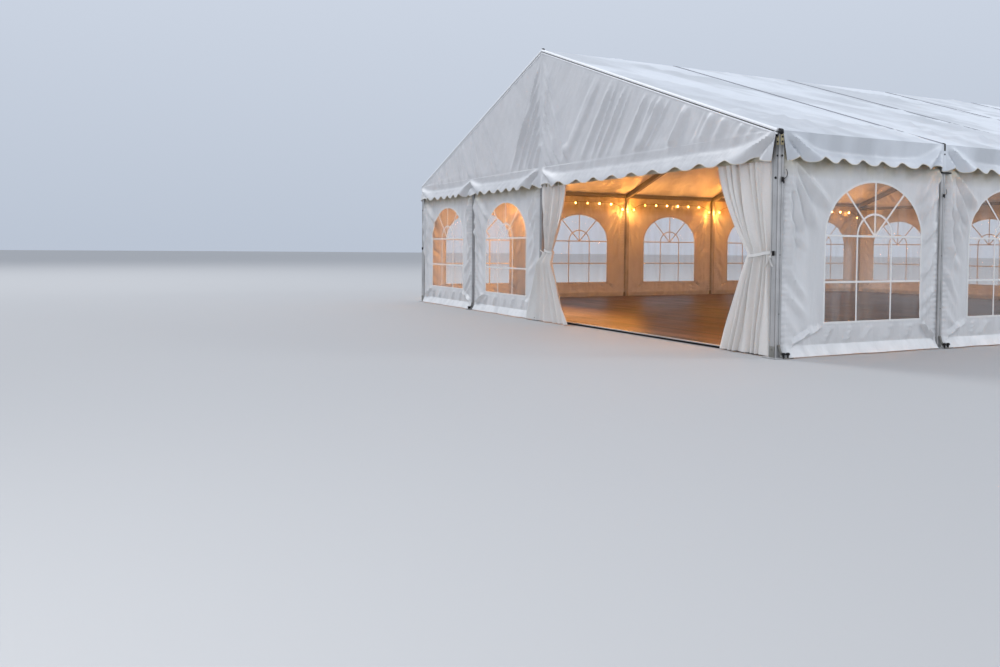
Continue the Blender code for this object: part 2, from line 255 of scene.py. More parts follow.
def sweep(outline, path, across, closed=False, grow=None):
    """An outline carried along a path with mitred corners. Its first coordinate lies in the
    path's plane and its second along `across`; grow scales it at each point of the path."""
    path = np.asarray(path, float)
    across = np.asarray(across, float) / np.linalg.norm(across)
    steps = np.diff(np.vstack([path, path[:1]]) if closed else path, axis=0)
    steps /= np.linalg.norm(steps, axis=1)[:, None]
    before = np.roll(steps, 1, axis=0) if closed else np.vstack([steps[:1], steps])
    after = steps if closed else np.vstack([steps, steps[-1:]])
    heading = before + after
    normal = np.cross(across, heading)
    normal /= np.linalg.norm(normal, axis=1)[:, None]
    straight = np.cross(across, before)
    straight /= np.linalg.norm(straight, axis=1)[:, None]
    stretch = 1 / (normal * straight).sum(1)
    scale = np.ones(len(path)) if grow is None else np.asarray(grow, float)
    rings = (
        path[:, None]
        + (outline[None, :, :1] * scale[:, None, None]) * (normal * stretch[:, None])[:, None]
        + (outline[None, :, 1:] * scale[:, None, None]) * across
    )
    if closed:
        return grid(rings, wrap_rows=True, wrap_columns=True).facing_out()
    return tube(rings)


def rounded(half_a, half_b, radius, steps=3):
    """A rectangle's outline with round corners, as quarter circles of a few steps each."""
    angles = np.linspace(0, math.pi / 2, steps + 1)
    arc = table(np.cos(angles), np.sin(angles)) * radius
    corner = arc + [half_a - radius, half_b - radius]
    second = corner[::-1] * [-1, 1]
    return np.vstack([corner, second, -corner, -second])


def circle(radius, sides):
    angles = np.arange(sides) * 2 * math.pi / sides
    return table(np.cos(angles), np.sin(angles)) * radius


def block(first, second, radius=0.003):
    """A box with rounded edges between two opposite corners: a round-cornered outline carried
    up, drawn in by a quarter circle at both ends."""
    low, high = np.minimum(first, second), np.maximum(first, second)
    half, middle = (high - low) / 2, (high + low) / 2
    angles = np.linspace(0, math.pi / 2, 3)
    inset = radius * (1 - np.sin(angles))
    level = radius * (1 - np.cos(angles)) - half[2]
    rings = []
    for cut, z in zip([*inset, *inset[::-1]], [*level, *-level[::-1]]):
        rings.append(table(*rounded(half[0] - cut, half[1] - cut, 1.6 * radius - cut).T, z))
    return tube(np.array(rings)).moved(middle)


def lathe(profile, sides=12):
    """A solid turned about Z from a profile of radius and height."""
    ring = circle(1.0, sides)
    return tube(np.array([table(*(ring.T * r), z) for r, z in profile]))


def bolt(radius, length, place, direction):
    """A hexagon bolt head on a washer, that stands at a place and faces a direction."""
    washer = lathe([(radius * 1.7, 0), (radius * 1.7, length * 0.25)])
    head = lathe([(radius, length * 0.2), (radius, length * 0.85), (radius * 0.8, length)], 6)
    turn = Vector((0, 0, 1)).rotation_difference(Vector(direction)).to_matrix()
    return (washer + head).moved(place, turn)


# Finishes

SPLASH_TOP = 0.32
# Below this height the wall colour is painted lighter: painted light on the foot that lies out on the
# ground.
FOOT_LIGHT_TOP = 0.165
# Above this height the wall colour turns olive-brown: mould and painted shade under the eaves.
MOULD_AND_SHADE_FOOT = HEM - 0.20


class Term:
    """A value in a material. A sum written with it adds the Math node that does it."""

    def __init__(self, recipe, socket):
        self.recipe = recipe
        self.socket = socket

    def __add__(self, other):
        return self.recipe.math("ADD", self, other)

    __radd__ = __add__

    def __mul__(self, other):
        return self.recipe.math("MULTIPLY", self, other)

    __rmul__ = __mul__

    def __sub__(self, other):
        return self.recipe.math("SUBTRACT", self, other)

    def __rsub__(self, other):
        return self.recipe.math("SUBTRACT", other, self)

    def __truediv__(self, other):
        return self.recipe.math("DIVIDE", self, other)

    def __rtruediv__(self, other):
        return self.recipe.math("DIVIDE", other, self)

    def clamped(self):
        """The value held between 0 and 1."""
        return self.recipe.node("Clamp", {}, {"Value": self})


class Recipe:
    """A material being written around one Principled shader."""

    def __init__(self, name, colour, roughness, **constants):
        self.material = bpy.data.materials.new(name)
        self.material.use_nodes = True
        self.tree = self.material.node_tree
        self.shader = self.tree.nodes["Principled BSDF"]
        self.shader.inputs["Base Color"].default_value = (*colour, 1)
        self.shader.inputs["Roughness"].default_value = roughness
        for socket, value in constants.items():
            self.shader.inputs[socket.replace("_", " ")].default_value = value
        self.place = self.node("TexCoord", {}, {}, "Object")

    def node(self, kind, settings, inputs, output=0):
        """Adds a node: its settings or its ramp's stops first, then values or links."""
        made = self.tree.nodes.new("ShaderNode" + kind)
        for name, value in settings.items():
            if name == "stops":
                ramp = made.color_ramp.elements
                while len(ramp) < len(value):
                    ramp.new(0.5)
                for stop, (position, shade) in zip(ramp, value):
                    stop.position = position
                    stop.color = (shade, shade, shade, 1)
            else:
                setattr(made, name, value)
        for name, value in inputs.items():
            socket = made.inputs[name]
            if isinstance(value, Term):
                self.tree.links.new(value.socket, socket)
            elif isinstance(value, tuple) and len(value) == 3 and socket.type == "RGBA":
                socket.default_value = (*value, 1)
            else:
                socket.default_value = value
        return Term(self, made.outputs[output])

    def math(self, operation, first, second):
        return self.node("Math", {"operation": operation}, {0: first, 1: second})

    def stretched(self, x, y, z):
        """Object coordinates multiplied along each axis."""
        return self.node("VectorMath", {"operation": "MULTIPLY"}, {0: self.place, 1: (x, y, z)})

    def noise(self, scale, detail=2.0, roughness=0.5, where=None):
        where = where or self.place
        inputs = {"Vector": where, "Scale": scale, "Detail": detail, "Roughness": roughness}
        return self.node("TexNoise", {}, inputs)

    def axis(self, letter):
        return self.node("SeparateXYZ", {}, {"Vector": self.place}, letter)

    def ramp(self, value, stops):
        return self.node("ValToRGB", {"stops": stops}, {"Fac": value})

    def mix(self, share, first, second):
        """Two colours mixed by a share from 0 to 1."""
        return self.node("Mix", {"data_type": "RGBA"}, {0: share, 6: first, 7: second}, 2)

    def bump(self, height, distance, below=None):
        inputs = {"Height": height, "Distance": distance, "Strength": 1.0}
        if below is not None:
            inputs["Normal"] = below
        return self.node("Bump", {}, inputs)

    def feed(self, **terms):
        """Links values to the shader's sockets."""
        for name, term in terms.items():
            self.tree.links.new(term.socket, self.shader.inputs[name.replace("_", " ")])

    def let_light_through(self, colour, share, normal):
        """Mixes in a Translucent shader, so that a thin cloth glows with the light behind it."""
        glow = self.node("BsdfTranslucent", {}, {"Color": colour, "Normal": normal})
        surface = Term(self, self.shader.outputs[0])
        mixed = self.node("MixShader", {}, {0: share, 1: surface, 2: glow})
        self.tree.links.new(mixed.socket, self.tree.nodes["Material Output"].inputs["Surface"])


def shade(colour, factor):
    """A colour made lighter or darker."""
    return tuple(min(1.0, part * factor) for part in colour)


def coated_cloth(name, colour, through, grain, turn, depth, streaks, mould_and_painted_light):
    """Coated tent cloth: broad tone changes, faint vertical water runs, a green-brown splash
    near the ground, mould and painted shade under the eaves, a painted light band along the
    foot, a satin sheen and crinkles, with rumples and darker streaks of painted fold shade drawn
    out by a turned grain that is the same on both halves. The grain is the length of a rumple
    along each axis."""
    recipe = Recipe(name, colour, 0.42, Sheen_Weight=0.05)
    height = recipe.axis("Z")
    broad = recipe.noise(0.55, 3)
    fine = recipe.noise(7.0, 4, 0.6)
    runs = recipe.noise(1.0, 4, 0.55, recipe.stretched(6.0, 6.0, 0.45))
    low = (1.0 - height / SPLASH_TOP).clamped()
    splash = (low * low * recipe.ramp(recipe.noise(14.0, 5), [(0.42, 0), (0.72, 1)]) * 0.55).clamped()
    tone = recipe.mix(recipe.ramp(broad, [(0.3, 0), (0.7, 1)]), colour, shade(colour, 0.93))
    tone = recipe.mix(recipe.ramp(runs, [(0.55, 0), (0.8, 0.35)]), tone, shade(colour, 0.84))
    tone = recipe.mix(splash, tone, (0.30, 0.28, 0.20))
    # Mould and painted shade: towards the eaves the colour turns olive-brown, partly mould and partly the
    # shade under the valances.
    eaves = ((height - MOULD_AND_SHADE_FOOT) * 4.5).clamped()
    blotch = recipe.ramp(recipe.noise(5.0, 3), [(0.25, 0.6), (0.60, 1)])
    tone = recipe.mix(eaves * blotch * mould_and_painted_light, tone, (0.33, 0.27, 0.12))
    # Painted light: the foot of a wall, which lies out on the ground, is painted lighter.
    painted_foot_light = ((FOOT_LIGHT_TOP - height) * 40.0).clamped()
    tone = recipe.mix(painted_foot_light * mould_and_painted_light, tone, shade(colour, 1.06))
    across = recipe.math("ABSOLUTE", recipe.axis("X"), 0.0)
    halves = recipe.node("CombineXYZ", {}, {0: across, 1: recipe.axis("Y"), 2: height})
    turned = {"Vector": halves, "Rotation": turn, "Scale": grain}
    along = recipe.node("Mapping", {"vector_type": "TEXTURE"}, turned)
    # Painted shade: darker streaks along the grain stand for the shade of the long folds.
    painted_fold_shade = recipe.ramp(recipe.noise(1.2, 3, 0.45, along), [(0.44, 0), (0.60, 1)])
    tone = recipe.mix(painted_fold_shade * streaks, tone, shade(colour, 0.74))
    relief = recipe.bump(recipe.noise(1.0, 4, 0.45, along), depth)
    relief = recipe.bump(recipe.noise(13.0, 4, 0.6), 0.005, relief)
    gathered = recipe.node("Attribute", {"attribute_name": "pucker"}, {}, "Fac")
    rows = recipe.node("Math", {"operation": "SINE"}, {0: height * 84.0 + fine * 5.0})
    relief = recipe.bump(gathered * rows * broad, 0.010, relief)
    relief = recipe.bump(recipe.noise(420.0, 1.0), 0.0003, relief)
    recipe.feed(Base_Color=tone, Roughness=0.34 + fine * 0.2, Normal=relief)
    recipe.let_light_through(colour, through, relief)
    return recipe.material


def curtain_cloth(name, colour):
    """Unbleached curtain cloth: a fine woven grain, soft slubs and a matt surface."""
    recipe = Recipe(name, colour, 0.75, Sheen_Weight=0.25, Sheen_Roughness=0.5)
    slub = recipe.noise(30.0, 3, 0.6, recipe.stretched(1.0, 1.0, 6.0))
    broad = recipe.noise(1.6, 3)
    tone = recipe.mix(recipe.ramp(slub, [(0.35, 0), (0.75, 1)]), colour, shade(colour, 0.92))
    tone = recipe.mix(broad * 0.35, tone, shade(colour, 0.88))
    relief = recipe.bump(recipe.noise(12.0, 4, 0.6), 0.006)
    relief = recipe.bump(slub, 0.0012, relief)
    recipe.feed(Base_Color=tone, Normal=relief)
    recipe.let_light_through(colour, 0.22, relief)
    return recipe.material


def clear_film(name):
    """Clear window film: faintly milky, with soft streaks and ripples that catch the light."""
    recipe = Recipe(name, (0.80, 0.80, 0.78), 0.07, IOR=1.5)
    streaks = recipe.noise(1.0, 3, 0.5, recipe.stretched(7.0, 7.0, 0.9))
    haze = recipe.ramp(streaks, [(0.42, 0), (0.80, 1)])
    relief = recipe.bump(recipe.noise(2.6, 3, 0.5), 0.02)
    recipe.feed(Alpha=0.055 + haze * 0.08, Normal=relief, Roughness=0.06 + haze * 0.2)
    return recipe.material


def extruded_aluminium(name, colour, shade_above):
    """Mill-finished aluminium: fine draw lines, cloudy oxide and scattered scuffs, with painted
    shade above a height: the colour is darkened there to stand for the shade in the roof."""
    recipe = Recipe(name, colour, 0.42, Metallic=0.6)
    draw = recipe.noise(60.0, 3, 0.6, recipe.stretched(1.0, 1.0, 0.05))
    cloud = recipe.noise(3.5, 4)
    scuff = recipe.ramp(recipe.noise(22.0, 5, 0.7), [(0.60, 0), (0.72, 1)])
    tone = recipe.mix(recipe.ramp(cloud, [(0.3, 0), (0.75, 1)]), colour, shade(colour, 0.72))
    tone = recipe.mix(scuff * 0.5, tone, shade(colour, 0.55))
    # Painted shade: above the height the colour darkens to stand for the shade in the roof.
    high = ((recipe.axis("Z") - shade_above) * 6.0).clamped()
    tone = recipe.mix(high, tone, shade(colour, 0.38))
    relief = recipe.bump(draw, 0.0008)
    recipe.feed(Base_Color=tone, Roughness=0.32 + cloud * 0.25 + scuff * 0.15, Normal=relief)
    return recipe.material


def weathered_steel(name, colour, rust):
    """Fittings of steel: a dark or zinc coat worn on the high spots, with some rust."""
    recipe = Recipe(name, colour, 0.5, Metallic=0.5)
    cloud = recipe.noise(18.0, 4)
    stain = recipe.ramp(recipe.noise(40.0, 5, 0.7), [(0.55, 0), (0.75, 1)])
    tone = recipe.mix(cloud, colour, shade(colour, 0.6))
    tone = recipe.mix(stain * rust, tone, (0.22, 0.10, 0.04))
    recipe.feed(Base_Color=tone, Roughness=0.35 + cloud * 0.3, Normal=recipe.bump(cloud, 0.002))
    return recipe.material


def floor_timber(name, colour):
    """Stained boards: long grain along X, a tone for each board from the attribute "board",
    and a worn, damp varnish."""
    recipe = Recipe(name, colour, 0.5, Coat_Roughness=0.25, Specular_IOR_Level=0.34)
    board = recipe.node("Attribute", {"attribute_name": "board"}, {}, "Fac")
    offset = recipe.node("CombineXYZ", {}, {0: board * 37.0, 1: board * 91.0, 2: 0.0})
    drawn_out = recipe.stretched(1.6, 26.0, 26.0)
    where = recipe.node("VectorMath", {"operation": "ADD"}, {0: drawn_out, 1: offset})
    grain = recipe.noise(1.0, 6, 0.65, where)
    fibre = recipe.noise(5.0, 4, 0.6, where)
    tone = recipe.mix(recipe.ramp(grain, [(0.30, 0), (0.70, 1)]), shade(colour, 1.7), shade(colour, 0.7))
    tone = recipe.mix(board, tone, shade(colour, 0.30))
    tone = recipe.mix(recipe.ramp(fibre, [(0.5, 0), (0.75, 0.5)]), tone, shade(colour, 0.4))
    damp = recipe.ramp(recipe.noise(0.9, 3, 0.5), [(0.30, 0), (0.75, 1)])
    relief = recipe.bump(grain * 0.7 + fibre * 0.3, 0.0016)
    recipe.feed(Base_Color=tone, Roughness=0.48 - damp * 0.10, Coat_Weight=damp * 0.10, Normal=relief)
    return recipe.material


def plain_plastic(name, colour, roughness):
    """Moulded plastic or rubber with a slight grain and dust."""
    recipe = Recipe(name, colour, roughness)
    dust = recipe.noise(25.0, 4)
    tone = recipe.mix(dust * 0.5, colour, shade(colour, 0.75))
    recipe.feed(Base_Color=tone, Roughness=roughness - 0.08 + dust * 0.16, Normal=recipe.bump(dust, 0.0006))
    return recipe.material


def lamp_glass(name, colour, strength):
    """Lit frosted bulbs, some of them dimmer than others."""
    recipe = Recipe(name, colour, 0.25, Emission_Strength=strength)
    dim = recipe.ramp(recipe.noise(2.3, 1), [(0.38, 0), (0.60, 1)])
    recipe.feed(Emission_Color=recipe.mix(dim, shade(colour, 0.22), colour))
    recipe.material.cycles.emission_sampling = "NONE"
    return recipe.material


def stage_paint(name, colour):
    """The pale studio floor: matt, with a hardly visible mottle."""
    recipe = Recipe(name, colour, 0.85)
    mottle = recipe.noise(0.25, 3)
    recipe.feed(Base_Color=recipe.mix(mottle * 0.3, colour, shade(colour, 0.94)))
    return recipe.material


FINISHES = {}


def finish(name):
    """A finish by its name, written the first time that a piece asks for it."""
    colours = bpy.context.scene.marquee_colours
    if name not in FINISHES:
        FINISHES[name] = {
            # In each cloth, streaks sets the share of painted fold shade.
            "roof": lambda: coated_cloth(
                "roof_cloth", tuple(colours.roof), through=0.07, grain=(3.8, 0.95, 3.8),
                turn=(0.0, 0.0, 0.5), depth=0.06, streaks=1.0, mould_and_painted_light=0.0,
            ),
            "gable": lambda: coated_cloth(
                "gable_cloth", tuple(colours.gable), through=0.13, grain=(0.30, 1.0, 0.9),
                turn=(0.0, 0.66, 0.0), depth=0.030, streaks=0.16, mould_and_painted_light=0.0,
            ),
            "wall": lambda: coated_cloth(
                "wall_cloth", tuple(colours.wall), through=0.12, grain=(0.25, 0.25, 1.2),
                turn=(0.0, 0.0, 0.0), depth=0.045, streaks=0.30, mould_and_painted_light=0.85,
            ),
            "curtain": lambda: curtain_cloth("curtain_cloth", tuple(colours.curtain)),
            "film": lambda: clear_film("window_film"),
            "trim": lambda: plain_plastic("window_bars", tuple(colours.trim), 0.35),
            "binding": lambda: plain_plastic("valance_binding", tuple(colours.binding), 0.55),
            "cord": lambda: plain_plastic("seam_cord", (0.32, 0.33, 0.36), 0.6),
            "bead": lambda: plain_plastic("verge_bead", (0.96, 0.96, 0.97), 0.45),
            # Painted shade: the aluminium is darkened above the hem as the shade in the roof.
            "aluminium": lambda: extruded_aluminium("extruded_aluminium", tuple(colours.metal), HEM),
            # Painted shade: a darker copy of the aluminium for the end posts and rails, standing for the
            # shade in the narrow gaps where the posts show between the walls.
            "gap_shade_aluminium": lambda: extruded_aluminium("gap_shade_extrusion", (0.42, 0.41, 0.41), HEM),
            "black": lambda: weathered_steel("black_fittings", (0.018, 0.018, 0.020), 0.3),
            "zinc": lambda: weathered_steel("zinc_fittings", (0.34, 0.33, 0.30), 0.7),
            "brass": lambda: weathered_steel("passivated_bracket", (0.45, 0.38, 0.22), 0.8),
            "timber": lambda: floor_timber("floor_timber", tuple(colours.timber)),
            "cable": lambda: plain_plastic("lamp_cable", (0.015, 0.017, 0.014), 0.5),
            "lamp": lambda: lamp_glass("lamp_glass", tuple(colours.lamp), colours.lamp_strength),
            "stage": lambda: stage_paint("studio_floor", tuple(colours.stage)),
        }[name]()
    return FINISHES[name]


def placed(name, shell, look):
    """A shell as an object in the scene, with its finish."""
    mesh = bpy.data.meshes.new(name)
    mesh.vertices.add(len(shell.points))
    mesh.vertices.foreach_set("co", shell.points.astype(np.float32).ravel())
    mesh.loops.add(len(shell.corners))
    mesh.loops.foreach_set("vertex_index", shell.corners.astype(np.int32))
    mesh.polygons.add(len(shell.sizes))
    mesh.polygons.foreach_set("loop_start", (np.cumsum(shell.sizes) - shell.sizes).astype(np.int32))
    mesh.update(calc_edges=True)
    mesh.materials.append(finish(look))
    made = bpy.data.objects.new(name, mesh)
    bpy.context.scene.collection.objects.link(made)
    return made


def piece(name, shell, look, replaces=(), thickness=0.0, sharp=35):
    """A shell as a finished piece on the tent's one body, in the place of frame nodes if any
    are named, and with the thickness of its cloth if it is a sheet."""
    made = placed(name, shell, look)
    mesh = made.data
    layer = mesh.uv_layers.new(name="cloth")
    layer.data.foreach_set("uv", shell.cloth[shell.corners, :2].astype(np.float32).ravel())
    if shell.cloth[:, 2].any():
        pucker = mesh.attributes.new("pucker", "FLOAT", "POINT")
        pucker.data.foreach_set("value", shell.cloth[:, 2].astype(np.float32))
    mesh.shade_smooth()
    mesh.set_sharp_from_angle(angle=math.radians(sharp))
    used = np.empty(len(mesh.loops), np.int32)
    mesh.loops.foreach_get("edge_index", used)
    flags = np.empty(len(mesh.edges), bool)
    mesh.edges.foreach_get("use_edge_sharp", flags)
    mesh.edges.foreach_set("use_edge_sharp", flags | (np.bincount(used, minlength=len(flags)) == 1))
    if thickness:
        wall = made.modifiers.new("thickness", "SOLIDIFY")
        wall.thickness = thickness
        wall.offset = 0.0
    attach(made, "root")
    if replaces:
        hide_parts(*replaces)
    return made


# Sizes and colours that a user would change

def a_length(name, description, default, **limits):
    """A size in metres."""
    return FloatProperty(name=name, description=description, default=default, unit="LENGTH", **limits)


def a_power(name, description, default):
    """The power of a light."""
    return FloatProperty(name=name, description=description, default=default, min=0, unit="POWER")


def a_colour(name, description, default, most=1):
    """A colour, with its parts between 0 and a greatest value."""
    return FloatVectorProperty(
        name=name, description=description, default=default, subtype="COLOR", size=3, min=0, max=most
    )


class MarqueeCloth(bpy.types.PropertyGroup):
    """Sizes of the cloth."""

    thickness: a_length("Cloth Thickness", "Thickness of every cloth", 0.0018, min=0.0005)
    lift: a_length("Cover Lift", "Height of the covers above the frame", 0.008)
    fold_depth: a_length("Fold Depth", "Depth of the folds in the gable cloth", 0.056)
    streak_depth: a_length("Roof Streak Depth", "Depth of the long folds in the roof", 0.038)
    wall_fold_depth: a_length("Wall Fold Depth", "Depth of the folds in the walls", 0.066)
    scallops: IntProperty(name="Scallops a Bay", description="Scallops along a bay", default=8)
    entrance_scallops: IntProperty(
        name="Entrance Scallops", description="Scallops over the right half of the front", default=11
    )
    scallop_depth: a_length("Scallop Depth", "Height of a scallop", 0.07)
    reveal_top: a_length("Corner Reveal at the Fold", "Cloth kept back from a corner at the fold", 0.05)
    reveal_hem: a_length("Corner Reveal at the Hem", "Cloth kept back from a corner at the hem", 0.125)
    dish: a_length("Valance Dish", "How far a valance is drawn in under its fold", 0.030)
    overhang: a_length("Eave Overhang", "How far the eave fold stands out between the legs", 0.024)
    flare: a_length("Valance Flare", "How far a valance stands out at its hem", 0.055)
    hem_height: a_length("Wall Hem", "Height of the band along the foot of a wall", 0.13)
    hem_flare: a_length("Wall Hem Flare", "How far the foot of a wall lies out on the ground", 0.085)


class MarqueeWindows(bpy.types.PropertyGroup):
    """Sizes of the windows."""

    bar_width: a_length("Bar Width", "Width of a welded bar", 0.027)
    bar_thickness: a_length("Bar Thickness", "Thickness of a welded bar", 0.004)
    rim_width: a_length("Rim Width", "Width of the weld round a window", 0.030)
    arch_half_width: a_length("Inner Arch Half Width", "Half width of the small inner arch", 0.32)
    arch_rise: a_length("Inner Arch Rise", "Rise of the small inner arch", 0.29)
    lower_bar: a_length("Lower Bar Height", "Height of the lower cross bar", 0.935)
    overlap: a_length("Film Overlap", "Film hidden behind the cloth's edge", 0.02)


class MarqueeCurtains(bpy.types.PropertyGroup):
    """Sizes of the entrance curtains."""

    flat_width: a_length("Flat Width", "Width of a curtain's cloth laid flat", 1.45)
    pleats: IntProperty(name="Pleats", description="Pleats across a curtain", default=7)
    waist_height: a_length("Waist Height", "Height at which a curtain is tied", 1.28)
    tie_width: a_length("Tie Width", "Width of the band round a waist", 0.04)


class MarqueeColours(bpy.types.PropertyGroup):
    """Colours of the finishes."""

    # Painted light: the roof cloth is lighter and bluer than the walls, standing for the sky reflected on
    # the roof.
    roof: a_colour("Roof Cloth", "Colour of the roof covers", (0.80, 0.83, 0.87))
    gable: a_colour("Gable Cloth", "Colour of the gable covers", (0.755, 0.755, 0.765))
    wall: a_colour("Wall Cloth", "Colour of the walls", (0.80, 0.80, 0.80))
    curtain: a_colour("Curtain Cloth", "Colour of the curtains", (0.87, 0.85, 0.82))
    trim: a_colour("Window Bars", "Colour of the welded bars", (0.84, 0.83, 0.81))
    binding: a_colour("Binding", "Colour of the tape on the scallops", (0.74, 0.69, 0.60))
    metal: a_colour("Aluminium", "Colour of the frame", (0.563, 0.554, 0.546))
    timber: a_colour("Floor Boards", "Colour of the boards", (0.098, 0.041, 0.016))
    lamp: a_colour("Lamp Light", "Colour of the bulbs' glass", (1.0, 0.42, 0.10))
    lamp_strength: FloatProperty(
        name="Lamp Strength", description="Brightness of a bulb's glass", default=48.0, min=0
    )
    stage: a_colour("Studio Floor", "Colour of the studio floor", (0.44, 0.44, 0.44))


class MarqueeLight(bpy.types.PropertyGroup):
    """Strength of the lights and the place of the camera."""

    sky: FloatProperty(name="Sky", description="Strength of the even studio light", default=1.0, min=0)
    horizon: a_colour("Horizon", "Colour of the light at the horizon", (0.50, 0.56, 0.66), 2)
    zenith: a_colour("Zenith", "Colour of the light overhead", (0.88, 0.94, 1.05), 2)
    key: a_power("Key Light", "Power of the large soft light to the left", 8800)
    fill: a_power("Fill Light", "Power of the soft light behind on the right", 1750)
    front: a_power("Front Light", "Power of the soft light before the entrance", 290)
    wash: a_power("Wall Wash", "Power of the warm light on a long wall inside", 42)
    bloom: FloatProperty(name="Bloom", description="Strength of the bloom round a lamp", default=0.35)
    star: FloatProperty(name="Star", description="Strength of the star round a lamp", default=0.06)
    warm: a_power("Warm Light", "Power of the lamps' glow in each bay", 19)
    glow: a_power("Lamp Cluster Light", "Power of the glow where the lamps dip", 26)
    camera_place: FloatVectorProperty(
        name="Camera Place", description="Where the camera stands", subtype="TRANSLATION",
        size=3, default=(14.091, -15.321, 1.345), unit="LENGTH",
    )
    camera_azimuth: FloatProperty(
        name="Camera Azimuth", description="Heading from +Y towards -X", subtype="ANGLE",
        default=math.radians(63.603),
    )
    camera_pitch: FloatProperty(
        name="Camera Pitch", description="Tilt above the horizon", subtype="ANGLE",
        default=math.radians(-1.883),
    )
    camera_roll: FloatProperty(
        name="Camera Roll", description="Turn about the line of sight", subtype="ANGLE",
        default=math.radians(0.497),
    )
    lens: FloatProperty(
        name="Lens", description="Focal length on a 36 mm sensor, in millimetres", default=31.41
    )
    shift: FloatProperty(
        name="Lens Shift", description="Upward shift as a share of the width", default=-0.0575
    )


# The covers

def scallop(phase, depth):
    """Rise of a hem above its lobes: depth times the 1.5th power of (1 - cos) / 2."""
    return depth * (0.5 - 0.5 * np.cos(2 * math.pi * phase)) ** 1.5


def valance_relief(near, fall, cloth, level, tilt):
    """How far a valance stands out, from the distance to the nearest support and the fall below
    the fold. A tension line leaves each support and levels out at a fall of
    level (1 - exp(-near / 0.24)). Above it the cloth is drawn in along a slope, below it the
    cloth flares out. Close to a support pleats fan out of it: bell curves of the angle, a ridge,
    a deep valley and a flat middle, times r exp(-r / 0.32), tilted down by an angle."""
    line = level * (1 - np.exp(-near / 0.24))
    above = np.clip(fall / np.maximum(line, 0.01), 0, 1)
    over = smooth(-0.02, 0.04, fall - line)
    grow = 1 - np.exp(-((near / 0.25) ** 2))
    drawn = -cloth.dish * (level / 0.24) * above * grow
    flare = cloth.flare * (0.15 + 0.85 * smooth(0.0, 0.20, fall - line)) * grow
    reach = np.hypot(near, fall)
    angle = np.arctan2(fall, near)
    blur = 0.02 / np.maximum(reach, 0.01)
    fan = 0.3
    for turn, wide, size in ((0.40, 0.15, 1.0), (0.71, 0.12, -1.1), (1.05, 0.15, 0.6)):
        wide = np.hypot(wide, blur)
        fan = fan + size * np.exp(-(((angle - turn - tilt) / wide) ** 2))
    fan *= smooth(0.03, 0.16, near)
    return (1 - over) * drawn + over * flare + 0.56 * reach * np.exp(-reach / 0.32) * fan


def roof_relief(along, up, bay):
    """Relief of the roof cloth in a bay, from the distance along the bay and up the slope.
    Long folds run mostly along the bay, tension folds spread up from the two eave corners, and
    the cloth hollows a little between the rafters."""
    cloth = bpy.context.scene.marquee_cloth
    rng = np.random.default_rng(40 + bay)
    length = BAY_LENGTH
    lines = []
    for number in range(13):
        first, start = rng.uniform(-0.8, 1.9), 1.2 + 0.42 * number + 0.3 * rng.random()
        run = rng.uniform(0.8, 1.6)
        end = (first + run, start - run * rng.uniform(1.2, 2.2))
        lines.append(((first, start), end, rng.uniform(0.11, 0.20), rng.uniform(0.6, 1.3)))
    for side in (0, 1):
        for turn in (0.28, 0.52, 0.80, 1.10, 1.35):
            turn += 0.08 * (2 * rng.random() - 1)
            reach = rng.uniform(1.3, 2.6)
            edge = side * length
            way = math.cos(turn) * (1 - 2 * side)
            end = (edge + way * reach, math.sin(turn) * reach)
            lines.append(((edge, 0.02), end, rng.uniform(0.06, 0.10), rng.uniform(0.6, 1.1)))
    folds = creases(along, up, lines)
    waves = ripples(along, up, 60 + bay, 10, 0.35, 1.1, math.pi / 2, 0.25)
    hollow = np.sin(math.pi * along / length) * np.sin(2 * math.pi * up / SLOPE_LENGTH) ** 2
    edge = smooth(0, 0.28, along) * smooth(0, 0.28, length - along)
    relief = cloth.streak_depth * (folds + 1.2 * waves + 0.3) - 0.010 * hollow
    return relief * edge * smooth(0.0, 0.12, up) * (0.25 + 0.75 * smooth(0, 0.3, SLOPE_LENGTH - up))


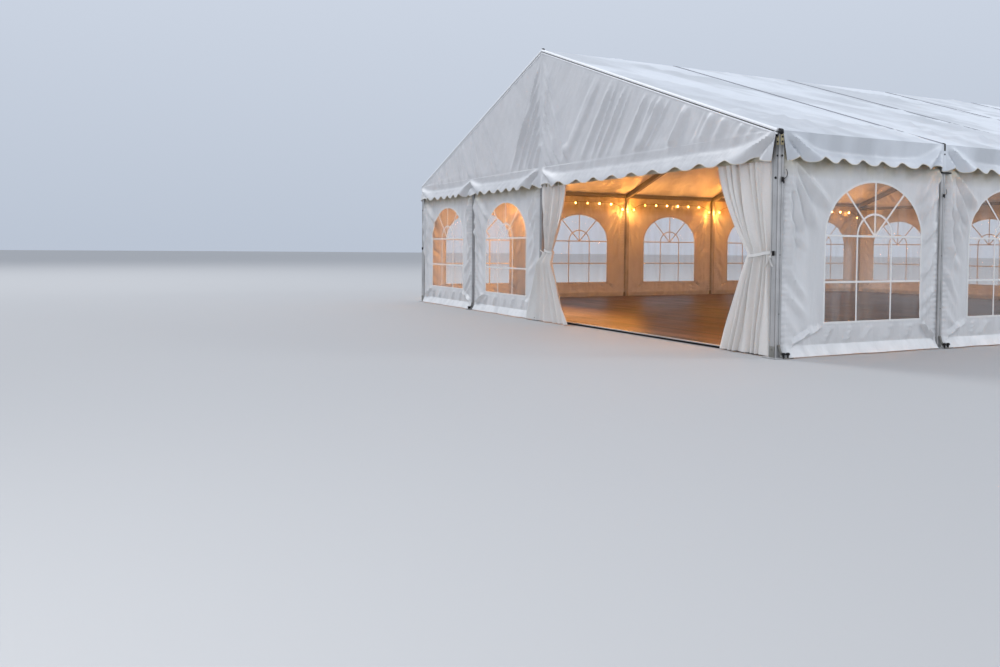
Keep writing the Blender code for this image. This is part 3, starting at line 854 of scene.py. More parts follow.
def cover_points(bay, cloth):
    """One cover as a table of points, from hem to hem across the roof and along its bay. Its
    roof relief stands square to the slope and its valances hang by their own relief. Returns the
    points and their cloth coordinates."""
    share = np.linspace(0, 1, cloth.scallops * (12 if bay < 2 else 9) + 1)[None, :]
    falls = np.linspace(1, 0, 13)
    rises = np.concatenate([[0.003], np.linspace(0.01, 1, 46)])
    fall = np.concatenate([falls, np.zeros(2 * len(rises) - 1), falls[::-1]])[:, None]
    rise = np.concatenate([0 * falls, rises, rises[-2::-1], 0 * falls])[:, None]
    side = np.where(np.arange(len(fall)) < len(falls) + len(rises), -1.0, 1.0)[:, None]
    gap = 0.0004
    start = np.full(fall.shape, BAY_EDGES[bay] + gap)
    end = np.full(fall.shape, BAY_EDGES[bay + 1] - gap)
    keep_back = cloth.reveal_top * (1 - smooth(0, 0.04, rise))
    keep_back = keep_back + (cloth.reveal_hem - cloth.reveal_top) * fall
    if bay == 0:
        start += keep_back - 2 * gap - 0.004
    if bay == BAYS - 1:
        end -= keep_back - 2 * gap - 0.004
    y = start + (end - start) * share
    near = np.minimum(share, 1 - share) * BAY_LENGTH
    proud = cloth.overhang * (1 - np.exp(-((near / 0.3) ** 2)))
    fold_x = HALF_WIDTH + cloth.lift + proud
    fold_z = EAVE_TOP + cloth.lift - proud * SLOPE
    top_z = RIDGE_TOP + cloth.lift / math.cos(PITCH)
    hem = HEM + scallop(share * cloth.scallops, cloth.scallop_depth)
    drop = fall * (fold_z - hem)
    down = side * drop
    flutter = 0.013 * ripples(y, down, 80 + bay, 8, 0.2, 0.8, 0.0, 0.5) * fall
    hang = at_least(valance_relief(near, drop, cloth, 0.24, 0.17) + flutter, -0.018 - proud)
    hang = np.where(near < 0.06, np.maximum(hang, -0.004), hang)
    slope = at_least(roof_relief(share * BAY_LENGTH, rise * SLOPE_LENGTH, bay), -0.004)
    relief = np.where(rise > 0, slope, hang)
    flat = (rise > 0) * (1 - smooth(0.97, 1, rise))
    x = side * (fold_x * (1 - rise) + relief * np.where(rise > 0, math.sin(PITCH) * flat, 1.0))
    z = np.where(
        rise > 0, fold_z + (top_z - fold_z) * rise + relief * math.cos(PITCH), fold_z - drop
    )
    length = side * (fall * DROP + SLOPE_LENGTH * (1 - rise))
    return table(x, y, z), table(y, length, 0.0)


def gable_lines(side):
    """Folds of a gable: on both halves they start along the verge and lean down towards the
    middle, and from the middle seam they spread down and outward like a fir tree."""
    rng = np.random.default_rng(7 if side == "front" else 8)
    lines = []
    foot = EAVE_TOP - 0.10
    for half in (-1, 1):
        for number in range(18 if half > 0 else 13):
            x = (1.85 + 0.23 * number if half > 0 else 2.4 + 0.27 * number) + rng.uniform(-0.09, 0.09)
            top = roof_line(x) - 0.03
            slant = rng.uniform(0.58, 0.88) if half > 0 else rng.uniform(0.32, 0.60)
            width = rng.uniform(0.045, 0.105)
            depth = width * rng.uniform(7, 12) * min(1.0, 0.4 + (top - foot)) * (1.0 if half > 0 else 0.7)
            lines.append(((half * x, top), (half * (x - slant * (top - foot)), foot), width, depth))
        for number in range(6):
            top = RIDGE_TOP - 0.12 - 0.31 * number
            run = (top - foot) * rng.uniform(0.92, 1.05)
            depth = rng.uniform(0.55, 0.95) * min(1.0, 0.35 + run)
            start = (half * 0.015, top)
            end = (half * rng.uniform(0.46, 0.70) * run, top - run)
            lines.append((start, end, rng.uniform(0.045, 0.070), depth))
    return lines


def gable_points(side, cloth):
    """A gable cover as a table of points, from its hem up to the verge and along the end. Above
    the eave its columns lean the way of the folds: a column that starts at x meets the verge at
    (x + lean rise) / (1 + lean slope). Returns the points and their cloth coordinates."""
    halves = (2 * cloth.scallops, cloth.entrance_scallops if side == "front" else 2 * cloth.scallops)
    finenesses, rows = ((12, 20), 62) if side == "front" else ((9, 9), 50)
    phases = [np.linspace(0, count, count * fine + 1) for count, fine in zip(halves, finenesses)]
    share = np.concatenate([phases[0] / halves[0] - 1, phases[1][1:] / halves[1]])[None, :]
    phase = np.concatenate([phases[0], phases[1][1:]])[None, :]
    fall = np.concatenate([np.linspace(1, 0, 13), np.zeros(rows)])[:, None]
    rise = np.concatenate([np.zeros(13), [0.006], np.linspace(0.018, 1, rows - 1)])[:, None]
    reach = HALF_WIDTH - cloth.reveal_top - 0.6 * (cloth.reveal_hem - cloth.reveal_top) * fall
    foot = share * reach
    lean = smooth(1.0, 3.6, np.abs(share) * HALF_WIDTH) * np.where(share > 0, 0.70, 0.46)
    verge = (np.abs(foot) + lean * SLOPE * reach) / (1 + lean * SLOPE) * np.sign(share)
    along = foot + (verge - foot) * rise
    top = roof_line(verge) + cloth.lift / math.cos(PITCH) - 0.001
    hem = HEM + scallop(phase, cloth.scallop_depth)
    drop = fall * (EAVE_TOP - hem)
    z = np.where(rise > 0, EAVE_TOP + (top - EAVE_TOP) * rise, EAVE_TOP - drop)
    held = [(-HALF_WIDTH, 0.0), (-HALF_WIDTH / 2, 0.15), (0.0, 0.0), (HALF_WIDTH, 0.0)]
    if side == "rear":
        held.append((HALF_WIDTH / 2, 0.15))
    near = np.min([np.abs(along - x) + loose for x, loose in held], axis=0)
    folds = cloth.fold_depth * creases(along, z, gable_lines(side))
    waves = 0.010 * ripples(along, z, 91, 14, 0.2, 0.9, 0.4 * np.sign(along), 1.0)
    body = at_least(folds + waves + 0.006, -0.002)
    flutter = 0.016 * ripples(along, z, 92, 12, 0.12, 0.6, 0.5 * np.sign(along), 0.5) * fall
    hang = 0.012 + valance_relief(near, drop, cloth, 0.14, 0.0) + 0.6 * body + flutter
    hang = at_least(hang, 0.003)
    held_flat = smooth(0, 0.10, top - z) * (0.5 + 0.5 * smooth(0, 0.10, z - EAVE_TOP))
    seam = 0.004 * np.exp(-((along / 0.018) ** 2))
    sheet = 0.012 - 0.008 * smooth(0, 0.3, rise) + held_flat * body + seam
    out = HALF_LENGTH + np.where(rise > 0, sheet, hang)
    return on_side(side, along, out, z), table(along, z, 0.0)


def tape(points, facing_side, width=0.012, thickness=0.005):
    """A binding tape along a row of points: a rounded strip whose face looks outward."""
    return sweep(rounded(width / 2, thickness / 2, 0.0018, 1), points, outward(facing_side))


class MARQUEE_OT_portals(bpy.types.Operator):
    """Portals of grooved extrusion with their base plates"""

    bl_idname = "marquee.portals"
    bl_label = "Portals"

    def execute(self, context):
        outline = grooved(LEG_DEPTH, LEG_WIDTH) - [LEG_DEPTH / 2, 0]
        leg = HALF_WIDTH - LEG_DEPTH / 2
        reach = PLATE_REACH - leg
        path = [
            (-HALF_WIDTH, PLATE_TOP), (-HALF_WIDTH, EAVE_TOP), (0, RIDGE_TOP),
            (HALF_WIDTH, EAVE_TOP), (HALF_WIDTH, PLATE_TOP),
        ]
        for number, y in enumerate(PORTALS, 1):
            shells = [sweep(outline, [(x, y, z) for x, z in path], (0, -1, 0))]
            for x in (-leg, leg):
                low = (x - reach, y - PLATE_HALF, 0.0)
                shells.append(block(low, (x + reach, y + PLATE_HALF, PLATE_TOP), 0.002))
            # The aluminium finish paints the rafters dark above the hem as shade.
            piece(f"portal_{number}", joined(shells), "aluminium", [f"frame_{number}"])
        return {"FINISHED"}


def grooved(depth, width, groove=0.009, cut=0.008, corner=0.004):
    """Outline of an extrusion: a rectangle with chamfered corners and keder grooves, two on each
    broad face and one on each narrow face. Each face is walked in turn, dipping into it."""
    faces = [
        ((depth / 2, -width / 2), (0, 1), width, [0.0]),
        ((depth / 2, width / 2), (-1, 0), depth, [-0.3 * depth, 0.3 * depth]),
        ((-depth / 2, width / 2), (0, -1), width, [0.0]),
        ((-depth / 2, -width / 2), (1, 0), depth, [-0.3 * depth, 0.3 * depth]),
    ]
    outline = []
    for start, way, length, grooves in faces:
        start, way = np.array(start), np.array(way, float)
        inward = np.array([-way[1], way[0]])
        outline.append(start + way * corner)
        for middle in grooves:
            for along, deep in ((-0.5, 0), (-0.5, 1), (0.5, 1), (0.5, 0)):
                outline.append(start + way * (length / 2 + middle + along * groove) + inward * deep * cut)
        outline.append(start + way * (length - corner))
    return np.array(outline)


class MARQUEE_OT_gable_posts(bpy.types.Operator):
    """Posts and rails that carry the end walls, in a darker aluminium as painted shade, and a block of wall
    cloth behind the front valance as painted shade
    """

    bl_idname = "marquee.gable_posts"
    bl_label = "Gable Posts"

    def execute(self, context):
        outline = grooved(LEG_WIDTH, LEG_WIDTH)
        for side, posts in POSTS.items():
            low, high = rail_levels(side)
            shells = []
            for x in posts:
                top = roof_line(x) - LEG_DEPTH / math.cos(PITCH)
                path = on_side(side, [x, x], HALF_LENGTH - POST_HALF, [PLATE_TOP, top])
                shells.append(sweep(outline, path, outward(side)))
                outs = HALF_LENGTH - LEG_WIDTH + np.array([0, 2 * PLATE_HALF])
                foot = on_side(side, [x - PLATE_HALF, x + PLATE_HALF], outs, [0.0, PLATE_TOP])
                shells.append(block(*foot, 0.002))
            path = on_side(side, [-LEG_INNER, LEG_INNER], HALF_LENGTH - RAIL_INSET, (low + high) / 2)
            shells.append(sweep(grooved(high - low, RAIL_DEPTH, 0.007, 0.006), path, outward(side)))
            # The end posts and rails take the darker aluminium: painted shade of the gaps between the
            # walls.
            piece(f"end_posts_{side}", joined(shells), "gap_shade_aluminium", [f"gable_posts_{side}"])
        # Painted shade: a block of wall cloth behind the front valance, darkened by the wall cloth's eave
        # shade, shows as dark arcs in the scallop notches.
        low = (POST_HALF + 0.01, -HALF_LENGTH + 0.002, HEM + 0.012)
        high = (LEG_INNER - 0.01, -HALF_LENGTH + 0.014, CURTAIN_TOP - 0.01)
        piece("valance_shade_block", block(low, high), "wall")
        return {"FINISHED"}


class MARQUEE_OT_purlins(bpy.types.Operator):
    """Finish of the five purlins, whose shape stays the frame's: aluminium with painted shade, as they lie
    above the hem
    """

    bl_idname = "marquee.purlins"
    bl_label = "Purlins"

    def execute(self, context):
        for name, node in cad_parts.items():
            if "purlin" in name:
                node.data.materials.clear()
                node.data.materials.append(finish("aluminium"))
        return {"FINISHED"}


class MARQUEE_OT_roof_covers(bpy.types.Operator):
    """One cover a bay, with both slopes and both side valances, and the tape on their hems"""

    bl_idname = "marquee.roof_covers"
    bl_label = "Roof Covers"

    def execute(self, context):
        cloth = context.scene.marquee_cloth
        for bay in range(BAYS):
            points, place = cover_points(bay, cloth)
            shell = grid(points, (0, 0, 1), place)
            name = f"roof_cloth_{bay + 1}"
            cover = piece(
                name, shell, "roof", [f"roof_cover_{bay + 1}"], cloth.thickness, 40
            )
            tapes = joined([tape(points[0], "left"), tape(points[-1], "right")])
            edge = piece(f"roof_tape_{bay + 1}", tapes, "binding")
        return {"FINISHED"}


class MARQUEE_OT_gable_covers(bpy.types.Operator):
    """The cloth triangle of each end with its valance, and the tape on its hem"""

    bl_idname = "marquee.gable_covers"
    bl_label = "Gable Covers"

    def execute(self, context):
        cloth = context.scene.marquee_cloth
        for side, portal in (("front", "portal_1"), ("rear", f"portal_{BAYS + 1}")):
            points, place = gable_points(side, cloth)
            shell = grid(points, outward(side), place)
            cover = piece(
                f"gable_cloth_{side}", shell, "gable", [f"gable_cover_{side}"],
                cloth.thickness, 40,
            )
            edge = piece(f"gable_tape_{side}", tape(points[0], side), "binding")
        return {"FINISHED"}


# Walls and windows

class Panel:
    """A wall panel's measures, read from its node: its side, its span and top, the distance of
    its outer face, and its window's middle, half width, sill, springing and crown."""

    def __init__(self, node):
        self.side = node.split("_")[1]
        self.number = int(node.split("_")[2])
        nx, ny = SIDES[self.side]
        points = node_points(node)
        along = points[:, 1] * nx - points[:, 0] * ny
        out = points[:, 0] * nx + points[:, 1] * ny
        self.left, self.right = along.min(), along.max()
        self.low, self.top = points[:, 2].min(), points[:, 2].max()
        self.face = out.max()
        low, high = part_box("window_" + node[len("wall_"):])
        pane = np.array([low, high])
        pane_along = np.sort(pane[:, 1] * nx - pane[:, 0] * ny)
        self.middle = pane_along.mean()
        self.overlap = bpy.context.scene.marquee_windows.overlap
        self.half = np.ptp(pane_along) / 2 - self.overlap
        self.sill = low.z + self.overlap
        self.crown = high.z - self.overlap
        jamb = np.isclose(np.abs(along - self.middle), self.half, atol=0.002)
        self.spring = points[jamb & (points[:, 2] > self.sill + 0.1), 2].max()
        self.seed = 10 * "right left front rear".split().index(self.side) + self.number

    def loop(self, grow, counts):
        """The window's edge, grown by a margin: sill, right jamb, half ellipse, left jamb."""
        half, sill, rise = self.half + grow, self.sill - grow, self.crown - self.spring + grow
        across, up, over = counts
        steps = [np.arange(n) / n for n in (across, up, over, up)]
        angle = math.pi * steps[2]
        along = np.concatenate([
            -half + 2 * half * steps[0], np.full(up, half), half * np.cos(angle), np.full(up, -half)
        ])
        height = np.concatenate([
            np.full(across, sill), sill + (self.spring - sill) * steps[1],
            self.spring + rise * np.sin(angle), self.spring - (self.spring - sill) * steps[3],
        ])
        return self.middle + along, height

    def edge(self, counts):
        """The panel's outline, with as many points on each side as the window's edge has."""
        across, up, over = counts
        steps = [np.arange(n) / n for n in (across, up, over, up)]
        along = np.concatenate([
            self.left + (self.right - self.left) * steps[0], np.full(up, self.right),
            self.right - (self.right - self.left) * steps[2], np.full(up, self.left),
        ])
        height = np.concatenate([
            np.full(across, self.low), self.low + (self.top - self.low) * steps[1],
            np.full(over, self.top), self.top - (self.top - self.low) * steps[3],
        ])
        return along, height

    def relief(self, along, height):
        """How far the wall stands out: folds fan down from both top corners, slant along the
        jambs and run from the window's lower corners to the feet, with small puckers where the
        cloth slides into the legs' grooves, and the foot lies out on the ground."""
        cloth = bpy.context.scene.marquee_cloth
        rng = np.random.default_rng(200 + self.seed)
        lines = []
        for left in (True, False):
            edge = self.left if left else self.right
            way = 1 if left else -1
            fan = ((0.82, 0.64), (0.56, 0.90), (0.36, 1.22), (0.13, 1.5))
            if not left:
                fan = ((0.42, 0.50), (0.30, 0.85), (0.17, 1.2))
            for run, fall in fan:
                start = (edge + way * 0.04, self.top - 0.22)
                reach = rng.uniform(0.9, 1.12)
                end = (edge + way * (0.05 + run * reach), self.top - 0.3 - fall * reach)
                lines.append((start, end, rng.uniform(0.055, 0.090), rng.uniform(0.7, 1.2)))
            for step in range(7):
                start = (edge + way * 0.02, self.top - 0.40 - 0.29 * step + rng.uniform(-0.08, 0.08))
                end = (start[0] + way * rng.uniform(0.30, 0.55), start[1] - rng.uniform(0.35, 0.6))
                lines.append((start, end, rng.uniform(0.045, 0.065), rng.uniform(0.25, 0.6)))
            corner = (self.middle - way * self.half, self.sill - 0.02)
            lines.append((corner, (edge + way * 0.04, self.low + 0.12), 0.04, 0.9))
        for step in range(5):
            x = self.middle + (step - 2) * 0.38 + rng.uniform(-0.08, 0.08)
            end = (x - rng.uniform(0.05, 0.22), self.low + 0.12)
            lines.append(((x, self.sill - 0.03), end, 0.04, rng.uniform(0.3, 0.6)))
        folds = cloth.wall_fold_depth * creases(along, height, lines)
        waves = 0.009 * ripples(along, height, 300 + self.seed, 12, 0.25, 1.0, 0.2, 0.5)
        inside = np.minimum(along - self.left, self.right - along)
        uneven = height + 0.03 * np.sin(9.0 * height + self.seed) + 0.02 * np.sin(23.0 * height)
        loose = 0.6 + 0.4 * np.sin(3.7 * height + 2.0 * self.seed)
        pucker = 0.0042 * loose * np.sin(2 * math.pi * uneven / 0.085) * np.exp(-inside / 0.05)
        held = smooth(0, 0.05, inside) * smooth(0, 0.10, self.top - height)
        held = held * (1 - 0.6 * smooth(HEM - 0.05, HEM + 0.10, height))
        body = (folds + waves + 0.006) * held + pucker * smooth(0, 0.006, inside)
        spread = smooth(0.0, 0.07, inside)
        foot = cloth.hem_flare * np.clip(1 - (height - self.low) / cloth.hem_height, 0, 1)
        sway = 1 + 0.35 * ripples(along, 0 * along, 400 + self.seed, 4, 0.5, 1.6, 0.0, 0.1)
        return body + foot * spread * sway

    def film_relief(self, along, height):
        """The film follows its wall at the edge and flattens towards its middle, by the square
        of the share of the way out from the middle of the springing line."""
        side = np.abs(along - self.middle) / self.half
        below = np.maximum(side, (self.spring - height) / (self.spring - self.sill))
        above = np.hypot(side, (height - self.spring) / (self.crown - self.spring))
        share = np.clip(np.where(height < self.spring, below, above), 0, 1.05)
        ripple = 0.0025 * ripples(along, height, 500 + self.seed, 6, 0.35, 1.0, 0.8, 0.7)
        return 0.4 * self.relief(along, height) * share**2 + ripple * (1 - share**4)


def wall_shell(panel, counts, rings):
    """The wall round its window: rings of points from the window's edge to the panel's edge."""
    inner_along, inner_height = panel.loop(0.0, counts)
    outer_along, outer_height = panel.edge(counts)
    share = np.linspace(0, 1, rings + 1)[:, None] ** 0.9
    along = inner_along + (outer_along - inner_along) * share
    height = inner_height + (outer_height - inner_height) * share
    hold = 0.4 + 0.6 * smooth(0.0, 0.22, share)
    out = panel.face + hold * panel.relief(along, height)
    points = on_side(panel.side, along, out, height)
    inside = np.minimum(along - panel.left, panel.right - along)
    place = table(along, height, np.exp(-inside / 0.07))
    return grid(points, outward(panel.side), place, wrap_columns=True)


def film_shell(panel, counts, rings):
    """The clear film: rings from the window's edge in to its middle, closed by one point."""
    margin = panel.overlap
    edge_along, edge_height = panel.loop(margin, counts)
    share = np.linspace(1, 0.06, rings)[:, None]
    along = panel.middle + (edge_along - panel.middle) * share
    height = panel.spring + (edge_height - panel.spring) * share
    depth = panel.face - 0.0045
    points = on_side(panel.side, along, depth + panel.film_relief(along, height), height)
    body = grid(points, outward(panel.side), table(along, height, 0.0), wrap_columns=True)
    middle = np.array([panel.middle]), np.array([panel.spring])
    pole = on_side(panel.side, middle[0], depth + panel.film_relief(*middle), middle[1])
    count = points.shape[1]
    last = (rings - 1) * count + np.arange(count)
    fan = table(last, np.roll(last, -1), len(body.points))
    start, end, tip = (np.vstack([body.points, pole])[fan[0, k]] for k in range(3))
    if np.dot(np.cross(end - start, tip - start), outward(panel.side)) < 0:
        fan = fan[:, ::-1]
    return Shell(
        np.vstack([body.points, pole]), np.concatenate([body.corners, fan.ravel()]),
        np.concatenate([body.sizes, np.full(count, 3)]),
        np.vstack([body.cloth, [[panel.middle, panel.spring, 0.0]]]),
    )


def bars_shell(panel, sizes):
    """The welded bars: two cross bars, two uprights joined by a small arch, and three rays."""
    half, rise = sizes.arch_half_width, sizes.arch_rise
    width = panel.half
    crown = panel.crown - panel.spring
    angles = np.linspace(0, math.pi, 19)

    def straight(start, end, count=10):
        share = np.linspace(0, 1, count)[:, None]
        return np.array(start) + (np.array(end) - np.array(start)) * share

    arch = table(half * np.cos(angles), rise * np.sin(angles))
    ray = 0.92
    slant = np.array([math.cos(ray) * width, math.sin(ray) * crown])
    lower = sizes.lower_bar - panel.spring
    sill = panel.sill - panel.spring
    paths = [
        straight((-width, 0), (width, 0), 18),
        straight((-width, lower), (width, lower), 18),
        np.vstack([straight((half, sill), (half, 0)), arch[1:-1], straight((-half, 0), (-half, sill))]),
        straight((0, 0), (0, crown)),
        straight((0, 0), slant),
        straight((0, 0), slant * [-1, 1]),
    ]
    outline = rounded(sizes.bar_width / 2, sizes.bar_thickness / 2, 0.0016, 1)
    shells = []
    for number, path in enumerate(paths):
        along, height = panel.middle + path[:, 0], panel.spring + path[:, 1]
        out = panel.face + 0.0004 * number + panel.film_relief(along, height)
        points = on_side(panel.side, along, out, height)
        shells.append(sweep(outline, points, outward(panel.side)))
    along, height = panel.loop(-0.002, (18, 14, 36))
    out = panel.face + 0.0025 + 0.4 * panel.relief(along, height)
    rim = rounded(sizes.rim_width / 2, sizes.bar_thickness / 2, 0.0016, 1)
    shells.append(sweep(rim, on_side(panel.side, along, out, height), outward(panel.side), closed=True))
    return joined(shells)


def hem_shell(panel, cloth):
    """The hem band along the foot of a wall: a second layer that follows the wall's relief."""
    along = np.linspace(panel.left + 0.004, panel.right - 0.004, 50)[None, :]
    height = np.linspace(panel.low, panel.low + cloth.hem_height, 7)[:, None]
    proud = 0.0035 + 0.001 * smooth(0.0, 0.02, panel.low + cloth.hem_height - height)
    out = panel.face + proud + panel.relief(along, height)
    points = on_side(panel.side, along, out, height)
    return grid(points, outward(panel.side), table(along, height, 0.0))


class MARQUEE_OT_walls(bpy.types.Operator):
    """Wall panels with their windows, bars, rims and hems"""

    bl_idname = "marquee.walls"
    bl_label = "Walls and Windows"

    def execute(self, context):
        cloth = context.scene.marquee_cloth
        sizes = context.scene.marquee_windows
        nodes = sorted(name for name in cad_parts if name.startswith("wall_"))
        for node in nodes:
            panel = Panel(node)
            near = panel.side == "front" or node in ("wall_right_1", "wall_right_2")
            counts, rings = ((44, 38, 72), 34) if near else ((28, 24, 44), 20)
            tag = f"{panel.side}_{panel.number}"
            wall = piece(
                f"wall_cloth_{tag}", wall_shell(panel, counts, rings), "wall",
                [node], cloth.thickness, 50,
            )
            film = piece(
                f"window_film_{tag}", film_shell(panel, (20, 14, 36), 8), "film",
                [f"window_{tag}"], 0.001, 50,
            )
            bars = piece(f"window_bars_{tag}", bars_shell(panel, sizes), "trim")
            hem = piece(
                f"wall_hem_{tag}", hem_shell(panel, cloth), "wall", (),
                cloth.thickness, 50,
            )
            width, height = panel.right - panel.left, panel.top - panel.low
            opening = 2 * panel.half * (panel.spring - panel.sill)
            opening += math.pi / 2 * panel.half * (panel.crown - panel.spring)
            height + cloth.hem_flare
            hung_from(panel)
            width * height - opening
        return {"FINISHED"}


def hung_from(panel):
    """The pieces between which a wall hangs."""
    if panel.side in ("front", "rear"):
        return [f"end_posts_{panel.side}"]
    first = panel.number
    return [f"portal_{first}", f"portal_{first + 1}"]


# The curtains

CURTAIN_PLANE = HALF_LENGTH - POST_HALF


def curtain_edges(way, fall, sizes):
    """The two edges of a curtain at a share of its fall, as distances from the post or leg that
    it is tied to, and how far it stands out of its plane. Powers of the fall draw the edges in
    to the waist and spread them to the foot. The left curtain's foot lies across its post."""
    waist = 1 - sizes.waist_height / CURTAIN_TOP
    above = np.clip(fall / waist, 0, 1)
    below = np.clip((fall - waist) / (1 - waist), 0, 1)
    if way > 0:
        near = 0.01 + 0.06 * above**1.5 - 0.49 * below**0.9
        far = 0.84 - 0.49 * above**1.7 + 0.76 * below**0.85
    else:
        near = 0.02 - 0.01 * above + 0 * below
        far = 1.05 - 0.63 * above**1.7 + 0.52 * below**0.85
    return near, far, 0.105 * smooth(0, 0.2, below) * (way > 0)


def curtain_points(way, face, sizes):
    """A curtain as a table of points. Across it the cloth waves in soft uneven pleats: a sine of
    the share across plus a smaller, quicker one, with a random size for each pleat. Their depth
    grows where the curtain narrows, and a little lean tips each pleat over."""
    rng = np.random.default_rng(21 if way > 0 else 22)
    fall = np.linspace(0, 1, 96)[:, None]
    across = np.linspace(0, 1, sizes.pleats * 18 + 1)[None, :]
    near, far, out = curtain_edges(way, fall, sizes)
    wide = far - near
    uneven = across + 0.045 * np.sin(2 * math.pi * (2.3 * across + 0.3))
    uneven = uneven + 0.02 * np.sin(2 * math.pi * (1.2 * fall + 2 * across))
    turn = 2 * math.pi * sizes.pleats * uneven
    knots = np.linspace(0, 1, sizes.pleats + 2)
    size = np.interp(across, knots, rng.uniform(0.45, 1.15, len(knots)))
    fullest = sizes.flat_width / sizes.pleats
    tight = np.clip(1 - wide / (0.9 * sizes.flat_width), 0, 1)
    depth = fullest * ((0.26 if way > 0 else 0.135) + 0.13 * tight**1.5)
    depth = np.minimum(depth, 0.8 * wide / sizes.pleats)
    wave = np.sin(turn) + 0.32 * np.sin(1.9 * turn + 1.7 + 3 * fall)
    sway = 0.012 * ripples(across * 1.2, fall * 2.6, 31 if way > 0 else 32, 8, 0.4, 1.4, 0.3, 0.8)
    x = near + wide * (across + 0.13 * np.sin(turn + 0.7) * size / sizes.pleats)
    y = -(CURTAIN_PLANE + out) + depth * size * wave + sway * smooth(0, 0.1, fall)
    z = CURTAIN_TOP + (PLATE_TOP + 0.004 - CURTAIN_TOP) * fall
    place = table(across * sizes.flat_width, fall * CURTAIN_TOP, 0.0)
    return table(face + way * x, y, z), place


def tie_shell(way, face, sizes):
    """The band round a waist, a loop drawn to the post, with a knot and two short tails."""
    waist, plane = sizes.waist_height, -CURTAIN_PLANE
    near, far, _ = curtain_edges(way, np.array([1 - waist / CURTAIN_TOP]), sizes)
    middle, half = (near[0] + far[0]) / 2, (far[0] - near[0]) / 2 + 0.012
    angles = np.linspace(0, 2 * math.pi, 48, endpoint=False)
    band = table(
        face + way * (middle + half * np.cos(angles)), plane + 0.062 * np.sin(angles),
        waist - 0.03 * np.cos(angles) + 0.004 * np.sin(5 * angles),
    )
    strip = rounded(0.0025, sizes.tie_width / 2, 0.001, 1)
    shells = [sweep(strip, band, (0, 0, 1), closed=True)]
    hook = face - way * 0.035
    knot = face + way * (middle - half)
    share = np.linspace(0, 1, 10)
    loop = table(
        knot + (hook - knot) * share, plane - 0.03 - 0.02 * share, waist - 0.03 + 0.05 * share
    )
    shells.append(sweep(rounded(0.0025, sizes.tie_width * 0.3, 0.001, 1), loop, (0, 0, 1)))
    ball = lathe([(0.004, -0.02), (0.018, -0.013), (0.023, 0), (0.018, 0.013), (0.004, 0.02)], 14)
    shells.append(ball.moved((knot, plane - 0.035, waist - 0.028)))
    for lean in (-0.05, 0.07):
        tail = table(
            knot + lean * share**1.3, plane - 0.045 - 0.02 * share, waist - 0.035 - 0.11 * share
        )
        shells.append(sweep(rounded(0.0015, 0.014, 0.0008, 1), tail, (0, 1, 0)))
    return joined(shells)


class MARQUEE_OT_curtains(bpy.types.Operator):
    """The two entrance curtains, gathered at the waist and tied back"""

    bl_idname = "marquee.curtains"
    bl_label = "Curtains"

    def execute(self, context):
        sizes = context.scene.marquee_curtains
        cloth = context.scene.marquee_cloth
        for side, way, face in (("left", 1, POST_HALF), ("right", -1, LEG_INNER)):
            points, place = curtain_points(way, face, sizes)
            curtain = piece(
                f"curtain_cloth_{side}", grid(points, (0, -1, 0), place), "curtain",
                [f"curtain_{side}"], cloth.thickness, 60,
            )
            tie = piece(f"curtain_tie_{side}", tie_shell(way, face, sizes), "curtain")
        return {"FINISHED"}


# Fittings

def strap_path(start_up, end_down, lift):
    """A path over the eave fold on the right side: down the slope, round the fold, down the face."""
    angle = np.linspace(0, math.pi / 2 - PITCH, 5)
    radius = 0.02
    fold = np.array([HALF_WIDTH + lift, EAVE_TOP + lift])
    along = np.array([math.cos(PITCH), -math.sin(PITCH)])
    start = fold - along * start_up
    near = fold - along * radius
    centre = near - np.array([math.sin(PITCH), math.cos(PITCH)]) * radius
    arc = centre + radius * table(np.sin(PITCH + angle), np.cos(PITCH + angle))
    end = np.array([[arc[-1, 0], fold[1] - end_down]])
    return np.vstack([start, arc, end])


class MARQUEE_OT_eave_caps(bpy.types.Operator):
    """Black caps over the eaves at every portal, and round caps on the two ridge ends"""

    bl_idname = "marquee.eave_caps"
    bl_label = "Eave and Ridge Caps"

    def execute(self, context):
        lift = context.scene.marquee_cloth.lift
        turn = np.linspace(0.06, 0.94, 9) * math.pi
        ball = lathe(table(0.034 * np.sin(turn), -0.034 * np.cos(turn)), 16)
        shells = []
        for number, y in enumerate(PORTALS):
            corner = number in (0, BAYS)
            width, fall = (0.052, 0.035) if corner else (0.032, 0.095)
            proud, knob_fall = (0.022, 0.02) if corner else (0.004, 0.125)
            y += math.copysign(0.016, y) * corner
            path = strap_path(0.04, fall, lift + 0.009)
            for side in (-1, 1):
                points = table(side * path[:, 0], y, path[:, 1])
                shells.append(sweep(rounded(0.005, width / 2, 0.0035), points, (0, 1, 0)))
                if corner:
                    shells.append(ball.moved((side * (HALF_WIDTH - 0.004), y, EAVE_TOP - 0.012)))
                place = (side * (HALF_WIDTH + lift + proud), y, EAVE_TOP - knob_fall)
                shells.append(bolt(0.007, 0.010, place, (side, 0, 0)))
        cap = lathe([(0.030, -0.03), (0.030, 0.006), (0.026, 0.014), (0.016, 0.019), (0.004, 0.020)], 20)
        for side in (-1, 1):
            shells.append(cap.moved((0, side * (HALF_LENGTH - 0.016), RIDGE_TOP + 0.022)))
        piece("eave_caps", joined(shells), "black")
        return {"FINISHED"}


